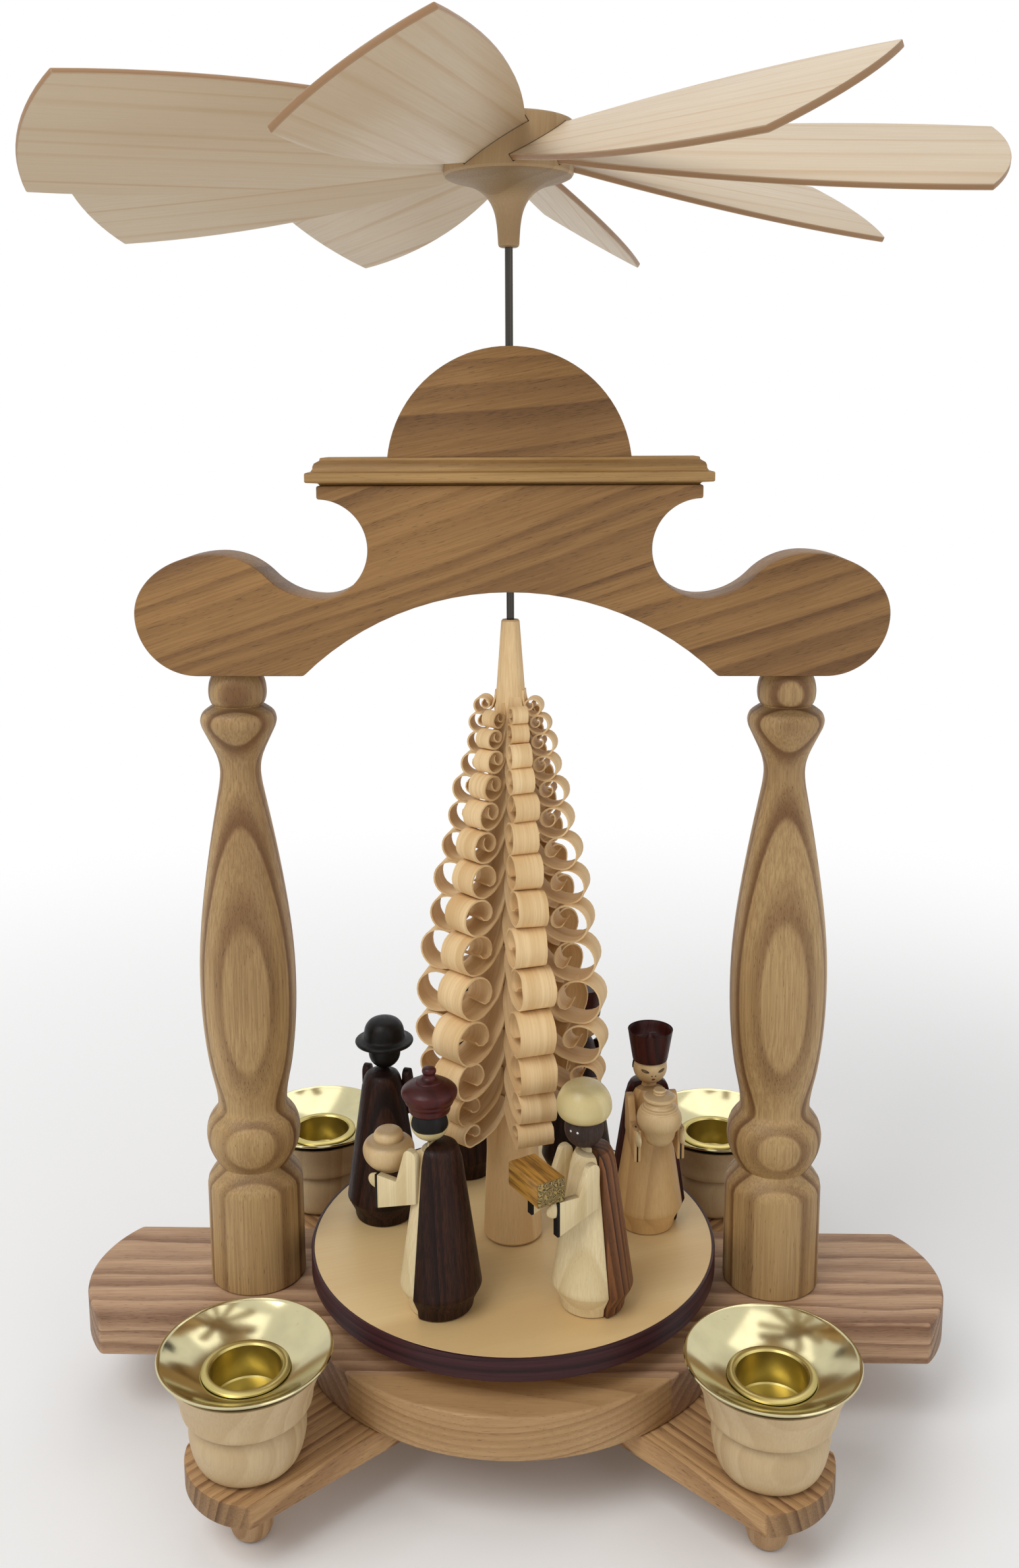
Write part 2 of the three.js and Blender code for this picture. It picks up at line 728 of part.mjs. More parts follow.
function shavingTree() {
  const trunk = turned(
    [
      [0, 0],
      [trunkFootRadius - turnedEase, 0],
      [trunkFootRadius, turnedEase],
      [trunkNeckRadius, bareFootHeight],
      [coreTopRadius, treeHeight - bareTipHeight],
      [tipRadius, treeHeight],
      [0, treeHeight],
    ],
    2 * curlRows,
  );
  const stagger = [0, -1 / 3, 1 / 3];
  const shavings = [];
  for (let row = 0; row < curlRows; row += 1) {
    const angle = radians(firstRowAngle + (360 / curlRows) * row);
    for (const curl of curlRow()) {
      const placed = { ...curl, z: curl.z - stagger[row % 3] * curl.size };
      shavings.push(shaving(shavingLine(placed), curl.width).rotateZ(angle));
    }
  }
  const carved = join(trunk, ...shavings);
  const tree = piece("shaving_tree", cut(carved, bar(gluedBoreRadius, -1, treeHeight + 1, 8)), "limeWood");
  tree.position.z = treeBottom;
  return tree;
}
rotor.add(shavingTree());

// Fan: eight thin blades whose tongues sit in slanted slots of a turned hub.
function bladeOutline(tongue, tongueEnd) {
  const corner = bladeReach - bladeTipArc;
  const tipRadiusOfArc = (bladeTipHalfWidth ** 2 + bladeTipArc ** 2) / (2 * bladeTipArc);
  const tipTurn = THREE.MathUtils.radToDeg(Math.asin(bladeTipHalfWidth / tipRadiusOfArc));
  const side = Array.from({ length: 4 }, (_, i) => {
    const share = i / 4;
    const belly = 4 * bladeBelly * share * (1 - share);
    return [mix(tongueEnd, corner, share), mix(tongue, bladeTipHalfWidth, share) + belly];
  });
  const half = [[bladeRoot, tongue], ...side];
  return [
    ...half.map(([x, y]) => [x, -y]),
    ...arc(bladeReach - tipRadiusOfArc, 0, tipRadiusOfArc, -tipTurn, tipTurn),
    ...half.reverse(),
  ];
}

// Turns a flat outline into a fan blade's place: drooped, pitched and swung to its angle on the hub.
function onHub(geometry, angle) {
  geometry.rotateX(radians(bladePitch));
  geometry.rotateY(radians(bladeDroopAngle));
  geometry.rotateZ(radians(angle));
  return geometry.translate(0, 0, bladeHeightOnHub);
}

const fan = new THREE.Group();
fan.position.z = hubBottom;
const slots = [];
for (let i = 0; i < bladeCount; i += 1) {
  const angle = firstBladeAngle + (360 / bladeCount) * i;
  const outline = bladeOutline(bladeTongueHalfWidth, hubRadius);
  const blade = onHub(sawn(outline, bladeThickness).translate(0, 0, -bladeThickness / 2), angle);
  fan.add(piece(`fan_blade_${i + 1}`, blade, "paleMaple"));
  const slotHeight = bladeThickness + 2 * fitGap;
  const slot = new THREE.BoxGeometry(hubRadius, 2 * (bladeTongueHalfWidth + fitGap), slotHeight);
  slots.push(onHub(slot.translate(bladeRoot - fitGap + hubRadius / 2, 0, 0), angle));
}
const flare = [[0.05, 0], [0.08, 0.25], [0.15, 0.5], [0.27, 0.7], [0.43, 0.83], [0.7, 0.93]];
const hubShape = turned(
  [
    [0, 0],
    ...flare.map(([spread, share]) => [mix(hubNoseRadius, hubRadius, spread), share * hubFlareHeight]),
    [hubRadius - turnedEase, hubFlareHeight],
    [hubRadius, hubFlareHeight + turnedEase],
    [hubRadius, hubTop - turnedEase],
    [hubRadius - turnedEase, hubTop],
    [0, hubTop],
  ],
  hubSides,
);
const hubBore = bar(gluedBoreRadius, -1, hubFlareHeight + hubDrumHeight / 2 + fitGap);
fan.add(piece("fan_hub", cut(hubShape, ...slots, hubBore), "limeWood"));
rotor.add(fan);

// Figures. A robe is the front part of a turned body and a cloak the rest, a little larger all round.
function bodyProfile(height, extra) {
  return [
    [0, 0],
    [robeFootRadius + extra, 0],
    [mix(robeFootRadius, robeSkirtRadius, 0.1) + extra, 0.4 * skirtHeight - extra / 2],
    [robeSkirtRadius + extra, skirtHeight],
    [robeShoulderRadius + extra, height - shoulderDrop],
    [mix(robeNeckRadius, robeShoulderRadius, 0.65) + extra, height - shoulderDrop / 3],
    [robeNeckRadius + extra, height + extra],
    [0, height + extra],
  ];
}

function halfBody(height, extra, from, to) {
  const reach = 3 * robeSkirtRadius;
  const keep = new THREE.BoxGeometry(reach, to - from, 2 * height + reach);
  keep.translate(0, (from + to) / 2, height / 2);
  return geometryOf(solidOf(turned(bodyProfile(height, extra), figureSides)).intersect(solidOf(keep)));
}

// Sleeves: two flat boards, one on each side, that reach forward, each with a small hand at its end.
function sleeves() {
  const shoulderTop = forearmTop + shoulderRise;
  const outline = [
    ...arc(shoulderForward, shoulderTop, shoulderRounding, 180, 20, shoulderRounding, 4 * arcStep),
    [elbowForward, forearmTop],
    [sleeveReach, forearmTop],
    [sleeveReach, forearmTop - sleeveDepth],
    [shoulderForward - shoulderRounding, forearmTop - 0.53 * sleeveDepth],
  ];
  const standing = (geometry, x) => geometry.rotateX(Math.PI / 2).rotateZ(Math.PI / 2).translate(x, 0, 0);
  return [-sleeveInside - sleeveThickness, sleeveInside].flatMap((x) => {
    const board = standing(sawn(outline.slice().reverse(), sleeveThickness), x);
    const hand = new THREE.BoxGeometry(sleeveThickness * 0.6, handLength, handHeight);
    hand.translate(x + sleeveThickness / 2, sleeveReach + handShown - handLength / 2, forearmTop - handDrop);
    return [board, hand];
  });
}

// A head that is turned to a ball, flat below for the neck and above for the hat.
function headProfile(radius, centre, flatTop) {
  const bottom = centre - radius;
  return [
    [0, bottom],
    [0.55 * radius, bottom + 0.02 * radius],
    [0.88 * radius, centre - 0.5 * radius],
    [radius, centre],
    [Math.sqrt(Math.max(radius ** 2 - (flatTop - centre) ** 2, 1)), flatTop],
    [0, flatTop],
  ];
}

function placedFigure(angle) {
  const group = new THREE.Group();
  const along = radians(angle);
  group.position.set(figureRing * Math.cos(along), figureRing * Math.sin(along), tableTop + glueLine);
  group.rotation.z = along + Math.PI;
  rotor.add(group);
  return group;
}

function king(name, { angle, height, headRadius, hat, finishes: woods, gift }) {
  const group = placedFigure(angle);
  const skirt = 2 * robeSkirtRadius;
  const robe = join(halfBody(height, 0, cloakSeam, skirt), ...sleeves());
  const cloak = halfBody(height, cloakThickness, -skirt, cloakSeam - fitGap);
  const headCentre = height + cloakThickness + fitGap + headRadius;
  const hatBottom = headCentre + 0.55 * headRadius;
  const head = turned(headProfile(headRadius, headCentre, hatBottom), figureSides);
  const crown = turned(hat.map(([radius, rise]) => [radius, hatBottom + glueLine + rise]), figureSides);
  group.add(piece(`${name}_robe`, robe, "paleMaple"));
  group.add(piece(`${name}_cloak`, cloak, woods.cloak));
  group.add(piece(`${name}_head`, head.translate(0, headForward, 0), woods.head));
  group.add(piece(`${name}_hat`, crown.translate(0, headForward, 0), woods.hat));
  group.add(piece(`${name}_gift`, gift, woods.gift));
}

// An attendant is turned from one piece of wood, and its hat from one piece with its head.
function attendant(name, { angle, height, headRadius, hat, finishes: woods }) {
  const group = placedFigure(angle);
  const body = join(turned(bodyProfile(height, cloakThickness / 2), figureSides), ...sleeves());
  const headCentre = height + cloakThickness / 2 + fitGap + headRadius;
  const hatBottom = headCentre + 0.55 * headRadius;
  const crown = hat.map(([radius, rise]) => [radius, hatBottom + rise]);
  const face = headProfile(headRadius, headCentre, hatBottom).slice(0, -1);
  const head = turned([...face, ...crown.slice(1)], figureSides);
  group.add(piece(`${name}_body`, body, woods.body));
  group.add(piece(`${name}_head`, head.translate(0, headForward, 0), woods.head));
}

// A hat's or gift's profile from shares of its widest radius and of its height.
function profileOf(radius, height, shares) {
  return shares.map(([spread, rise]) => [spread * radius, rise * height]);
}

const turban = profileOf(7.1, 11.8, [
  [0, 0],
  [0.73, 0],
  [0.77, 0.2],
  [1, 0.42],
  [0.93, 0.53],
  [0.42, 0.69],
  [0.28, 0.78],
  [0.28, 0.95],
  [0, 1],
]);
const mushroomCap = profileOf(7, 9.8, [
  [0, 0],
  [0.71, 0],
  [0.96, 0.14],
  [1, 0.35],
  [0.86, 0.69],
  [0.51, 0.92],
  [0, 1],
]);
const fez = profileOf(6.2, 8, [
  [0, 0],
  [0.79, 0],
  [1, 1],
  [0.92, 1],
  [0.74, 0.63],
  [0.35, 0.58],
  [0.1, 0.88],
  [0, 0.88],
]);
const bowler = profileOf(8.2, 7.9, [
  [0, 0],
  [0.54, 0],
  [1, 0.08],
  [1, 0.18],
  [0.71, 0.25],
  [0.63, 0.66],
  [0.34, 0.94],
  [0, 1],
]);
const plainFez = profileOf(6, 8.5, [[0, 0], [0.82, 0], [1, 1], [0, 1]]);

// The gifts lie on the forearms, and the two turned ones reach down between them.
const giftBottom = forearmTop + glueLine;
const roundBox = turned(
  profileOf(boxRadius, boxHeight, [
    [0, 0],
    [0.54, 0],
    [0.93, 0.23],
    [1, 0.49],
    [0.81, 0.71],
    [0.58, 0.74],
    [0.54, 0.87],
    [0, 1],
  ]),
  figureSides,
).translate(0, sleeveReach + 1, giftBottom - boxSeat);
const casket = new THREE.BoxGeometry(casketWidth, casketDepth, casketHeight);
casket.translate(0, sleeveReach + 2.4, giftBottom + casketHeight / 2);
const jar = turned(
  profileOf(jarRadius, jarHeight, [
    [0, 0],
    [0.52, 0],
    [0.72, 0.13],
    [0.77, 0.26],
    [0.98, 0.364],
    [1, 0.48],
    [0.79, 0.675],
    [0.56, 0.766],
    [0.7, 0.818],
    [0.59, 0.883],
    [0.23, 0.922],
    [0.23, 0.987],
    [0, 1],
  ]),
  figureSides,
).translate(0, sleeveReach - 0.6, giftBottom - jarSeat);

king("turban_king", {
  angle: -118.5,
  height: turbanKingHeight,
  headRadius: kingHeadRadius,
  hat: turban,
  finishes: { cloak: "walnut", head: "ivoryMaple", hat: "padouk", gift: "limeWood" },
  gift: roundBox,
});
king("cap_king", {
  angle: -57.3,
  height: capKingHeight,
  headRadius: kingHeadRadius,
  hat: mushroomCap,
  finishes: { cloak: "walnut", head: "ebony", hat: "ivoryMaple", gift: "goldenBurr" },
  gift: casket,
});
king("fez_king", {
  angle: 9.3,
  height: fezKingHeight,
  headRadius: fezHeadRadius,
  hat: fez,
  finishes: { cloak: "padouk", head: "limeWood", hat: "padouk", gift: "limeWood" },
  gift: jar,
});
attendant("bowler_attendant", {
  angle: 165.8,
  height: attendantHeight,
  headRadius: bowlerHeadRadius,
  hat: bowler,
  finishes: { body: "walnut", head: "ebony" },
});
attendant("rear_right_attendant", {
  angle: 61,
  height: attendantHeight,
  headRadius: fezHeadRadius,
  hat: plainFez,
  finishes: { body: "walnut", head: "ebony" },
});
attendant("rear_left_attendant", {
  angle: 113,
  height: attendantHeight,
  headRadius: fezHeadRadius,
  hat: bowler,
  finishes: { body: "walnut", head: "ebony" },
});

export default pyramid;
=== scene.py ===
"""A one-tier Christmas pyramid in ash, lime, maple and brass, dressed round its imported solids.

Sizes are in millimetres and angles in degrees until a mesh is made, and each place comes from the solids.
"""
import math

import bmesh
import bpy
import numpy as np
from mathutils import Matrix, Vector


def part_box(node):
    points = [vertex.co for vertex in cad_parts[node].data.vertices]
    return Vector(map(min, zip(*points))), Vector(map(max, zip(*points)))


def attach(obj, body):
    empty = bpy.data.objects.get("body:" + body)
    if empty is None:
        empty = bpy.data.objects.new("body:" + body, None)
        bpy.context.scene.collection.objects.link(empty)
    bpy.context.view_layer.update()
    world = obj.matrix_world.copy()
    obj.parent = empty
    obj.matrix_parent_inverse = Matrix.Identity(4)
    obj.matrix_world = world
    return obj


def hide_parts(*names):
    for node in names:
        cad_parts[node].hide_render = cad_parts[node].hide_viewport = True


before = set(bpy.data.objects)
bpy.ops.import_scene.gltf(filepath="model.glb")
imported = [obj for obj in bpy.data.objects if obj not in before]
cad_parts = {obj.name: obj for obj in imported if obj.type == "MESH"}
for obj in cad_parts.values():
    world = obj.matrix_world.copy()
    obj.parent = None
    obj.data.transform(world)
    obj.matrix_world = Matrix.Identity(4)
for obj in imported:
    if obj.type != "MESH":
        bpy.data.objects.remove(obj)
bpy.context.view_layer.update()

# Feet: four short turned pegs of ash with rounded soles.
# Each goes up through the end of an arm and is glued there.

MM = 0.001
SIDES = ("front_left", "front_right", "back_left", "back_right")
SHARP_TURN = 32.0
END_GRAIN_TINT = (0.5, 0.48, 0.46, 1.0)


def tint(red, green, blue):
    """A colour as it is seen, 0 to 255 a channel, in the linear values that a shader takes."""
    seen = [channel / 255 for channel in (red, green, blue)]
    return tuple(((c + 0.055) / 1.055) ** 2.4 if c > 0.04 else c / 12.92 for c in seen) + (1.0,)


def toned(colour, share):
    """A colour made darker or lighter by a share."""
    return tuple(min(c * share, 0.95) for c in colour[:3]) + (1.0,)


class Wire:
    """A socket of a node tree. The signs + - * / on it make Math nodes, or Vector Math nodes for vectors."""

    def __init__(self, socket):
        self.socket, self.tree = socket, socket.id_data

    def __getitem__(self, output):
        return Wire(self.socket.node.outputs[output])

    def math(self, operation, *others, swapped=False):
        is_vector = self.socket.type in ("VECTOR", "RGBA")
        values = (*others, self) if swapped else (self, *others)
        kind = "ShaderNodeVectorMath" if is_vector else "ShaderNodeMath"
        return add(self.tree, kind, dict(enumerate(values)), operation=operation)

    def __add__(self, other):
        return self.math("ADD", other)

    def __sub__(self, other):
        return self.math("SUBTRACT", other)

    def __rsub__(self, other):
        return self.math("SUBTRACT", other, swapped=True)

    def __mul__(self, other):
        return self.math("MULTIPLY", other)

    def __truediv__(self, other):
        return self.math("DIVIDE", other)

    def __rtruediv__(self, other):
        return self.math("DIVIDE", other, swapped=True)


def feed(node, inputs):
    """Links a node's inputs to wires, or sets them to values."""
    for key, value in inputs.items():
        if isinstance(value, Wire):
            value.tree.links.new(value.socket, node.inputs[key])
        else:
            node.inputs[key].default_value = value


def add(tree, kind, inputs=None, **settings):
    """The first output of a new node with its settings and inputs."""
    node = tree.nodes.new(kind)
    for name, value in settings.items():
        setattr(node, name, value)
    feed(node, inputs or {})
    return Wire(node.outputs[0])


def between(value, low, high, start=0.0, end=1.0):
    """A value carried smoothly from the range low to high over to start to end."""
    inputs = {"Value": value, "From Min": low, "From Max": high, "To Min": start, "To Max": end}
    return add(value.tree, "ShaderNodeMapRange", inputs, interpolation_type="SMOOTHSTEP")


def colours(share, first, second, blend="MIX"):
    """Two colours mixed by a share."""
    tree = next(value.tree for value in (share, first, second) if isinstance(value, Wire))
    inputs = {0: share, 6: first, 7: second}
    return add(tree, "ShaderNodeMix", inputs, data_type="RGBA", blend_type=blend)[2]


def noise(place, scale, detail=2.0, roughness=0.5):
    """A noise texture, as a value round a half."""
    inputs = {"Vector": place, "Scale": scale, "Detail": detail, "Roughness": roughness}
    return add(place.tree, "ShaderNodeTexNoise", inputs)


def ripple(run, scale, detail):
    """A noise texture along one value only."""
    inputs = {"W": run, "Scale": scale, "Detail": detail}
    return add(run.tree, "ShaderNodeTexNoise", inputs, noise_dimensions="1D")


def bump(height, depth, strength):
    """Relief on a surface, with its full depth in millimetres."""
    inputs = {"Strength": strength, "Distance": depth * MM, "Height": height}
    return add(height.tree, "ShaderNodeBump", inputs)


def read(tree, name, output="Fac"):
    """What a mesh carries under a name, for its material."""
    return add(tree, "ShaderNodeAttribute", attribute_name=name)[output]


def bare_material(name):
    """A new material with only a Principled shader in it, and its tree."""
    material = bpy.data.materials.new(name)
    material.use_nodes = True
    tree = material.node_tree
    return material, tree, tree.nodes["Principled BSDF"]


def wood(name, pale, dark, ring=4.0, pith=60.0, bent=2.5, bend_length=60.0, band=0.45, fibre=0.5, pores=0.3,
         blotch=0.25, rough=0.5, coat=0.0, relief=0.05, uneven=1.1, late=False, ridge=0.0, shine=0.4):
    """Wood cut from a log: growth rings round a pith, fibres and pores along it, and a light varnish.

    It reads each point's place in the log from the attribute grain, whose Z runs along the fibres.
    Each ring is darkest at its inner side, or at its outer side when late, and ridge lets the dark part sink.
    Where the fibres are cut across, told by the attribute end_grain, it drinks more varnish and darkens.
    """
    material, tree, skin = bare_material(name)
    log = read(tree, "grain", "Vector") * (1 / MM, 1 / MM, 1 / MM)
    waves = noise(log * (1, 1, 0.35), 1 / bend_length, 1.5)["Color"]
    swayed = log + (waves - (0.5, 0.5, 0.5)) * (4 * bent, 4 * bent, 0)
    from_pith = swayed * (1, 1, 0) + (0, pith, 0)
    count = from_pith.math("LENGTH")["Value"] / ring
    count = count + ripple(count, 0.7, 1.0) * uneven
    share = count.math("FRACT")
    if late:
        share = 1.0 - share
    year = add(tree, "ShaderNodeTexWhiteNoise", {"W": count.math("FLOOR")}, noise_dimensions="1D")
    early = between(share, 0.0, 0.12) * between(share, 0.12, 0.12 + band, 1.0, 0.0)
    early = early * between(year, 0.0, 1.0, 0.45, 1.0)
    lines = between(noise(log * (2.2, 2.2, 0.045), 1.0, 4.0, 0.62), 0.3, 0.7)
    cells = noise(log * (5.5, 5.5, 0.33), 1.0, 1.0)
    open_pores = between(cells + (early * 0.13 - 0.1), 0.58, 0.68)
    clouds = noise(log * (0.05, 0.05, 0.012), 1.0, 2.0)
    colour = colours(early, pale, dark)
    colour = colours(lines * fibre, colour, dark)
    colour = colours(between(clouds, 0.45, 0.75, 0.0, blotch), colour, dark)
    colour = colours(between(clouds, 0.5, 0.25, 0.0, blotch), colour, toned(pale, 1.12))
    colour = colours(open_pores * pores, colour, toned(dark, 0.62))
    soaked = colours(1.0, colour, END_GRAIN_TINT, "MULTIPLY")
    height = lines * -0.4 + open_pores * -pores + early * -ridge
    feed(skin, {
        "Base Color": colours(between(read(tree, "end_grain"), 0.45, 0.95, 0.0, 0.8), colour, soaked),
        "Roughness": between(lines, 0.0, 1.0, rough - 0.05, rough + 0.08),
        "Normal": bump(height, relief, 0.6), "Specular IOR Level": shine,
        "Coat Weight": coat, "Coat Roughness": 0.25,
    })
    return material


def smooth(points, steps=6):
    """A smooth line through points, as a bent spline would lie."""
    knots = [np.array(p, float) for p in (points[0], *points, points[-1])]
    line = []
    for a, b, c, d in zip(knots, knots[1:], knots[2:], knots[3:]):
        for t in np.arange(steps) / steps:
            curve = (2 * a - 5 * b + 4 * c - d) * t**2 + (3 * b - a - 3 * c + d) * t**3
            line.append(0.5 * (2 * b + (c - a) * t + curve))
    return [tuple(p) for p in line] + [tuple(points[-1])]


def turned(profile, sides=64):
    """Points and faces of a turned piece from [radius, height] pairs that run up its outside.

    A profile that ends where it starts makes a ring.
    """
    ring_shaped = tuple(profile[0]) == tuple(profile[-1])
    points, rings, faces = [], [], []
    for radius, height in profile[:-1] if ring_shaped else profile:
        count = sides if radius > 1e-6 else 1
        rings.append([len(points) + i for i in range(count)])
        for i in range(count):
            turn = 2 * math.pi * i / sides
            points.append((radius * math.cos(turn), radius * math.sin(turn), height))
    for low, high in zip(rings, rings[1:] + (rings[:1] if ring_shaped else [])):
        for i in range(sides):
            j = (i + 1) % sides
            if len(low) == 1:
                faces.append((low[0], high[j], high[i]))
            elif len(high) == 1:
                faces.append((low[i], low[j], high[0]))
            else:
                faces.append((low[i], low[j], high[j], high[i]))
    return points, faces


def softened(mesh, sharp=SHARP_TURN):
    """Smooth faces that only break where the surface turns sharply."""
    mesh.shade_smooth()
    mesh.set_sharp_from_angle(angle=math.radians(sharp))


def placed(name, data):
    """A new object in the scene, at the origin."""
    made = bpy.data.objects.new(name, data)
    bpy.context.scene.collection.objects.link(made)
    return made


def shown(name, points, faces, place=(0, 0, 0), turn=0.0):
    """A mesh object from points in millimetres, turned about Z and moved to its place, with smooth faces."""
    spun = Matrix.Rotation(math.radians(turn), 4, "Z")
    spun.translation = Vector(place)
    mesh = bpy.data.meshes.new(name)
    mesh.from_pydata([tuple((spun @ Vector(p)) * MM) for p in points], [], faces)
    softened(mesh)
    return placed(name, mesh)


def written(made, name, values, kind="FLOAT", domain="POINT"):
    """Writes a value on each point or face of a piece under a name."""
    layer = made.data.attributes.new(name, kind, domain)
    values = np.asarray(values, np.float32).ravel()
    layer.data.foreach_set("vector" if kind == "FLOAT_VECTOR" else "value", values)


def points_of(made):
    points = np.empty(len(made.data.vertices) * 3)
    made.data.vertices.foreach_get("co", points)
    return points.reshape(-1, 3)


def grained(made, material, along, bark=(0, -1, 0), shift=(0, 0, 0), axis=(0, 0, 0)):
    """Gives a piece its wood, and writes on it each point's place in the log and how squarely it is cut.

    along is the way the fibres run, bark the way to the log's outside from the piece's own axis, and
    shift sets pieces apart.
    """
    z = Vector(along).normalized()
    y = (Vector(bark) - z * z.dot(Vector(bark))).normalized()
    turn = np.array([y.cross(z), y, z])
    logged = (points_of(made) - np.array(axis) * MM) @ turn.T + np.array(shift) * MM
    written(made, "grain", logged, "FLOAT_VECTOR")
    is_sawn = any(len(face.vertices) > 8 for face in made.data.polygons)
    cuts, domain = (made.data.polygons, "FACE") if is_sawn else (made.data.vertices, "POINT")
    written(made, "end_grain", [abs(cut.normal.dot(z)) for cut in cuts], domain=domain)
    made.data.materials.clear()
    made.data.materials.append(material)


def middle(node):
    """The middle of a solid's box, in millimetres, at the level of its underside."""
    low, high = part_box(node)
    return (low.x + high.x) / 2 / MM, (low.y + high.y) / 2 / MM, low.z / MM


def fitted(made, body, slot_name, *nodes):
    """Attaches a piece to the body it moves with and hides the solids it stands for; slot_name, its kind of
    material, is not used.
    """
    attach(made, body)
    if nodes:
        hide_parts(*nodes)


FOOT_HEIGHT = 14.6
FOOT_PROFILE = [(2.4, 0), (3.9, 0.5), (4.8, 1.6), (5.4, 4), (5.7, 8), (5.6, 12), (5.3, FOOT_HEIGHT)]
foot_ash = wood("ash of the feet", tint(190, 156, 115), tint(155, 116, 76), ring=3.2, pith=30, fibre=0.35,
                pores=0.4)
for index, side in enumerate(SIDES):
    mesh = turned([(0, 0), *smooth(FOOT_PROFILE, 3), (0, FOOT_HEIGHT)], 40)
    foot = shown(f"foot_{side}_turned", *mesh, middle(f"foot_{side}"))
    grained(foot, foot_ash, along=(0.05, 0, 1), bark=(1, -1, 0), shift=(11 * index, 7 * index, 40 * index))
    fitted(foot, "stand", "ash", f"foot_{side}")

# Crossing arms: two quarter-sawn ash boards with rounded ends, half-lapped under the base plate.
# Their open grain runs along them and stands as dark stripes on their faces.

ARM_THICKNESS = 6.3
ARM_HALF_WIDTH = 14.45
ARM_REACH = 101.7
ARM_END_RADIUS = 20.2
ARM_ANGLE = 43.4
ARM_GRAIN_TURN = 4.0
LAP_ROOM = 0.1


def arc(x, y, radius, start, end, height_radius=None, step=4.0):
    """Points along an arc, or along a part of an ellipse when a height radius is given."""
    count = max(1, math.ceil(abs(end - start) / step))
    turns = [math.radians(start + (end - start) * i / count) for i in range(count + 1)]
    return [(x + radius * math.cos(t), y + (height_radius or radius) * math.sin(t)) for t in turns]


def closed(rows, count):
    """Faces between rows of points that each run once round a piece, lowest row first, and over its ends."""
    last = (rows - 1) * count
    faces = [tuple(reversed(range(count)))]
    for low in range(0, last, count):
        faces += [(low + i, low + (i + 1) % count, low + count + (i + 1) % count, low + count + i)
                  for i in range(count)]
    return [*faces, tuple(range(last, last + count))]


def sawn(outline, thickness):
    """Points and faces of a board sawn to an outline in X and Y, from Z 0 up to its thickness."""
    corners = [p for i, p in enumerate(outline) if math.dist(p, outline[i - 1]) > 1e-3]
    return [(x, y, level) for level in (0, thickness) for x, y in corners], closed(2, len(corners))


def settled(made):
    """The same object with its modifiers worked into its mesh."""
    bpy.context.view_layer.update()
    ready = made.evaluated_get(bpy.context.evaluated_depsgraph_get())
    mesh = bpy.data.meshes.new_from_object(ready)
    mesh.name = made.name
    made.modifiers.clear()
    made.data = mesh
    return made


def eased(made, width, segments=2, angle=35):
    """Rounds sharp edges over, as sandpaper leaves them."""
    bevel = made.modifiers.new("eased edges", "BEVEL")
    bevel.width = width * MM
    bevel.segments = segments
    bevel.limit_method = "ANGLE"
    bevel.angle_limit = math.radians(angle)
    bevel.harden_normals = False
    softened(settled(made).data)


def carved(made, *tools):
    """A piece with the room of other meshes cut out of it. The tools are used up."""
    for tool in tools:
        cutter = made.modifiers.new("cut", "BOOLEAN")
        cutter.operation = "DIFFERENCE"
        cutter.solver = "EXACT"
        cutter.object = tool
    settled(made)
    for tool in tools:
        bpy.data.objects.remove(tool)
    return made


def arm_outline(half_width):
    corner = math.degrees(math.asin(ARM_HALF_WIDTH / ARM_END_RADIUS))
    centre = ARM_REACH - ARM_END_RADIUS
    ends = arc(centre, 0, ARM_END_RADIUS, -corner, corner)
    ends += arc(-centre, 0, ARM_END_RADIUS, 180 - corner, 180 + corner)
    return [(x, y * half_width / ARM_HALF_WIDTH) for x, y in ends]


arm_ash = wood("ash of the arms", tint(198, 158, 109), tint(129, 89, 53), ring=2.6, pith=150, bent=0.5,
               bend_length=40, band=0.75, fibre=0.35, pores=0.8, relief=0.18, rough=0.55, uneven=0.7,
               late=True, ridge=1.8)
for name, way, lap_bottom, shift in (("lower", 1, ARM_THICKNESS / 2, 60), ("upper", -1, -1.0, 170)):
    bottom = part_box(f"cross_arm_{name}")[0].z / MM
    board = sawn(arm_outline(ARM_HALF_WIDTH), ARM_THICKNESS)
    lap = sawn(arm_outline(ARM_HALF_WIDTH + LAP_ROOM), ARM_THICKNESS / 2 + 1)
    arm = shown(f"cross_arm_{name}_board", *board, (0, 0, bottom), way * ARM_ANGLE)
    eased(carved(arm, shown("lap", *lap, (0, 0, bottom + lap_bottom), -way * ARM_ANGLE)), 0.45)
    fibres = math.radians(way * (ARM_ANGLE + ARM_GRAIN_TURN))
    along = (math.cos(fibres), math.sin(fibres), 0)
    grained(arm, arm_ash, along, bark=(-along[1], along[0], 0.2), shift=(5, 9, shift))
    fitted(arm, "stand", "ash", f"cross_arm_{name}")

# Base plate: a broad ash board with a round middle and a wing on each side, edge-glued from three planks.
# The middle plank's wavy figure runs from wing to wing, and carries the columns and the bottom bearing.

PLATE_THICKNESS = 12.0
PLATE_RADIUS = 60.7
WING_REACH = 119.3
WING_HALF_WIDTH = 22.0
WING_END_RADIUS = 34.0
GLUE_LINE = 45.0


def plate_outline():
    in_wing = math.degrees(math.asin(WING_HALF_WIDTH / WING_END_RADIUS))
    in_disc = math.degrees(math.asin(WING_HALF_WIDTH / PLATE_RADIUS))
    centre = WING_REACH - WING_END_RADIUS
    half = arc(centre, 0, WING_END_RADIUS, -in_wing, in_wing)
    half += arc(0, 0, PLATE_RADIUS, in_disc, 180 - in_disc)
    return half + [(-x, -y) for x, y in half]


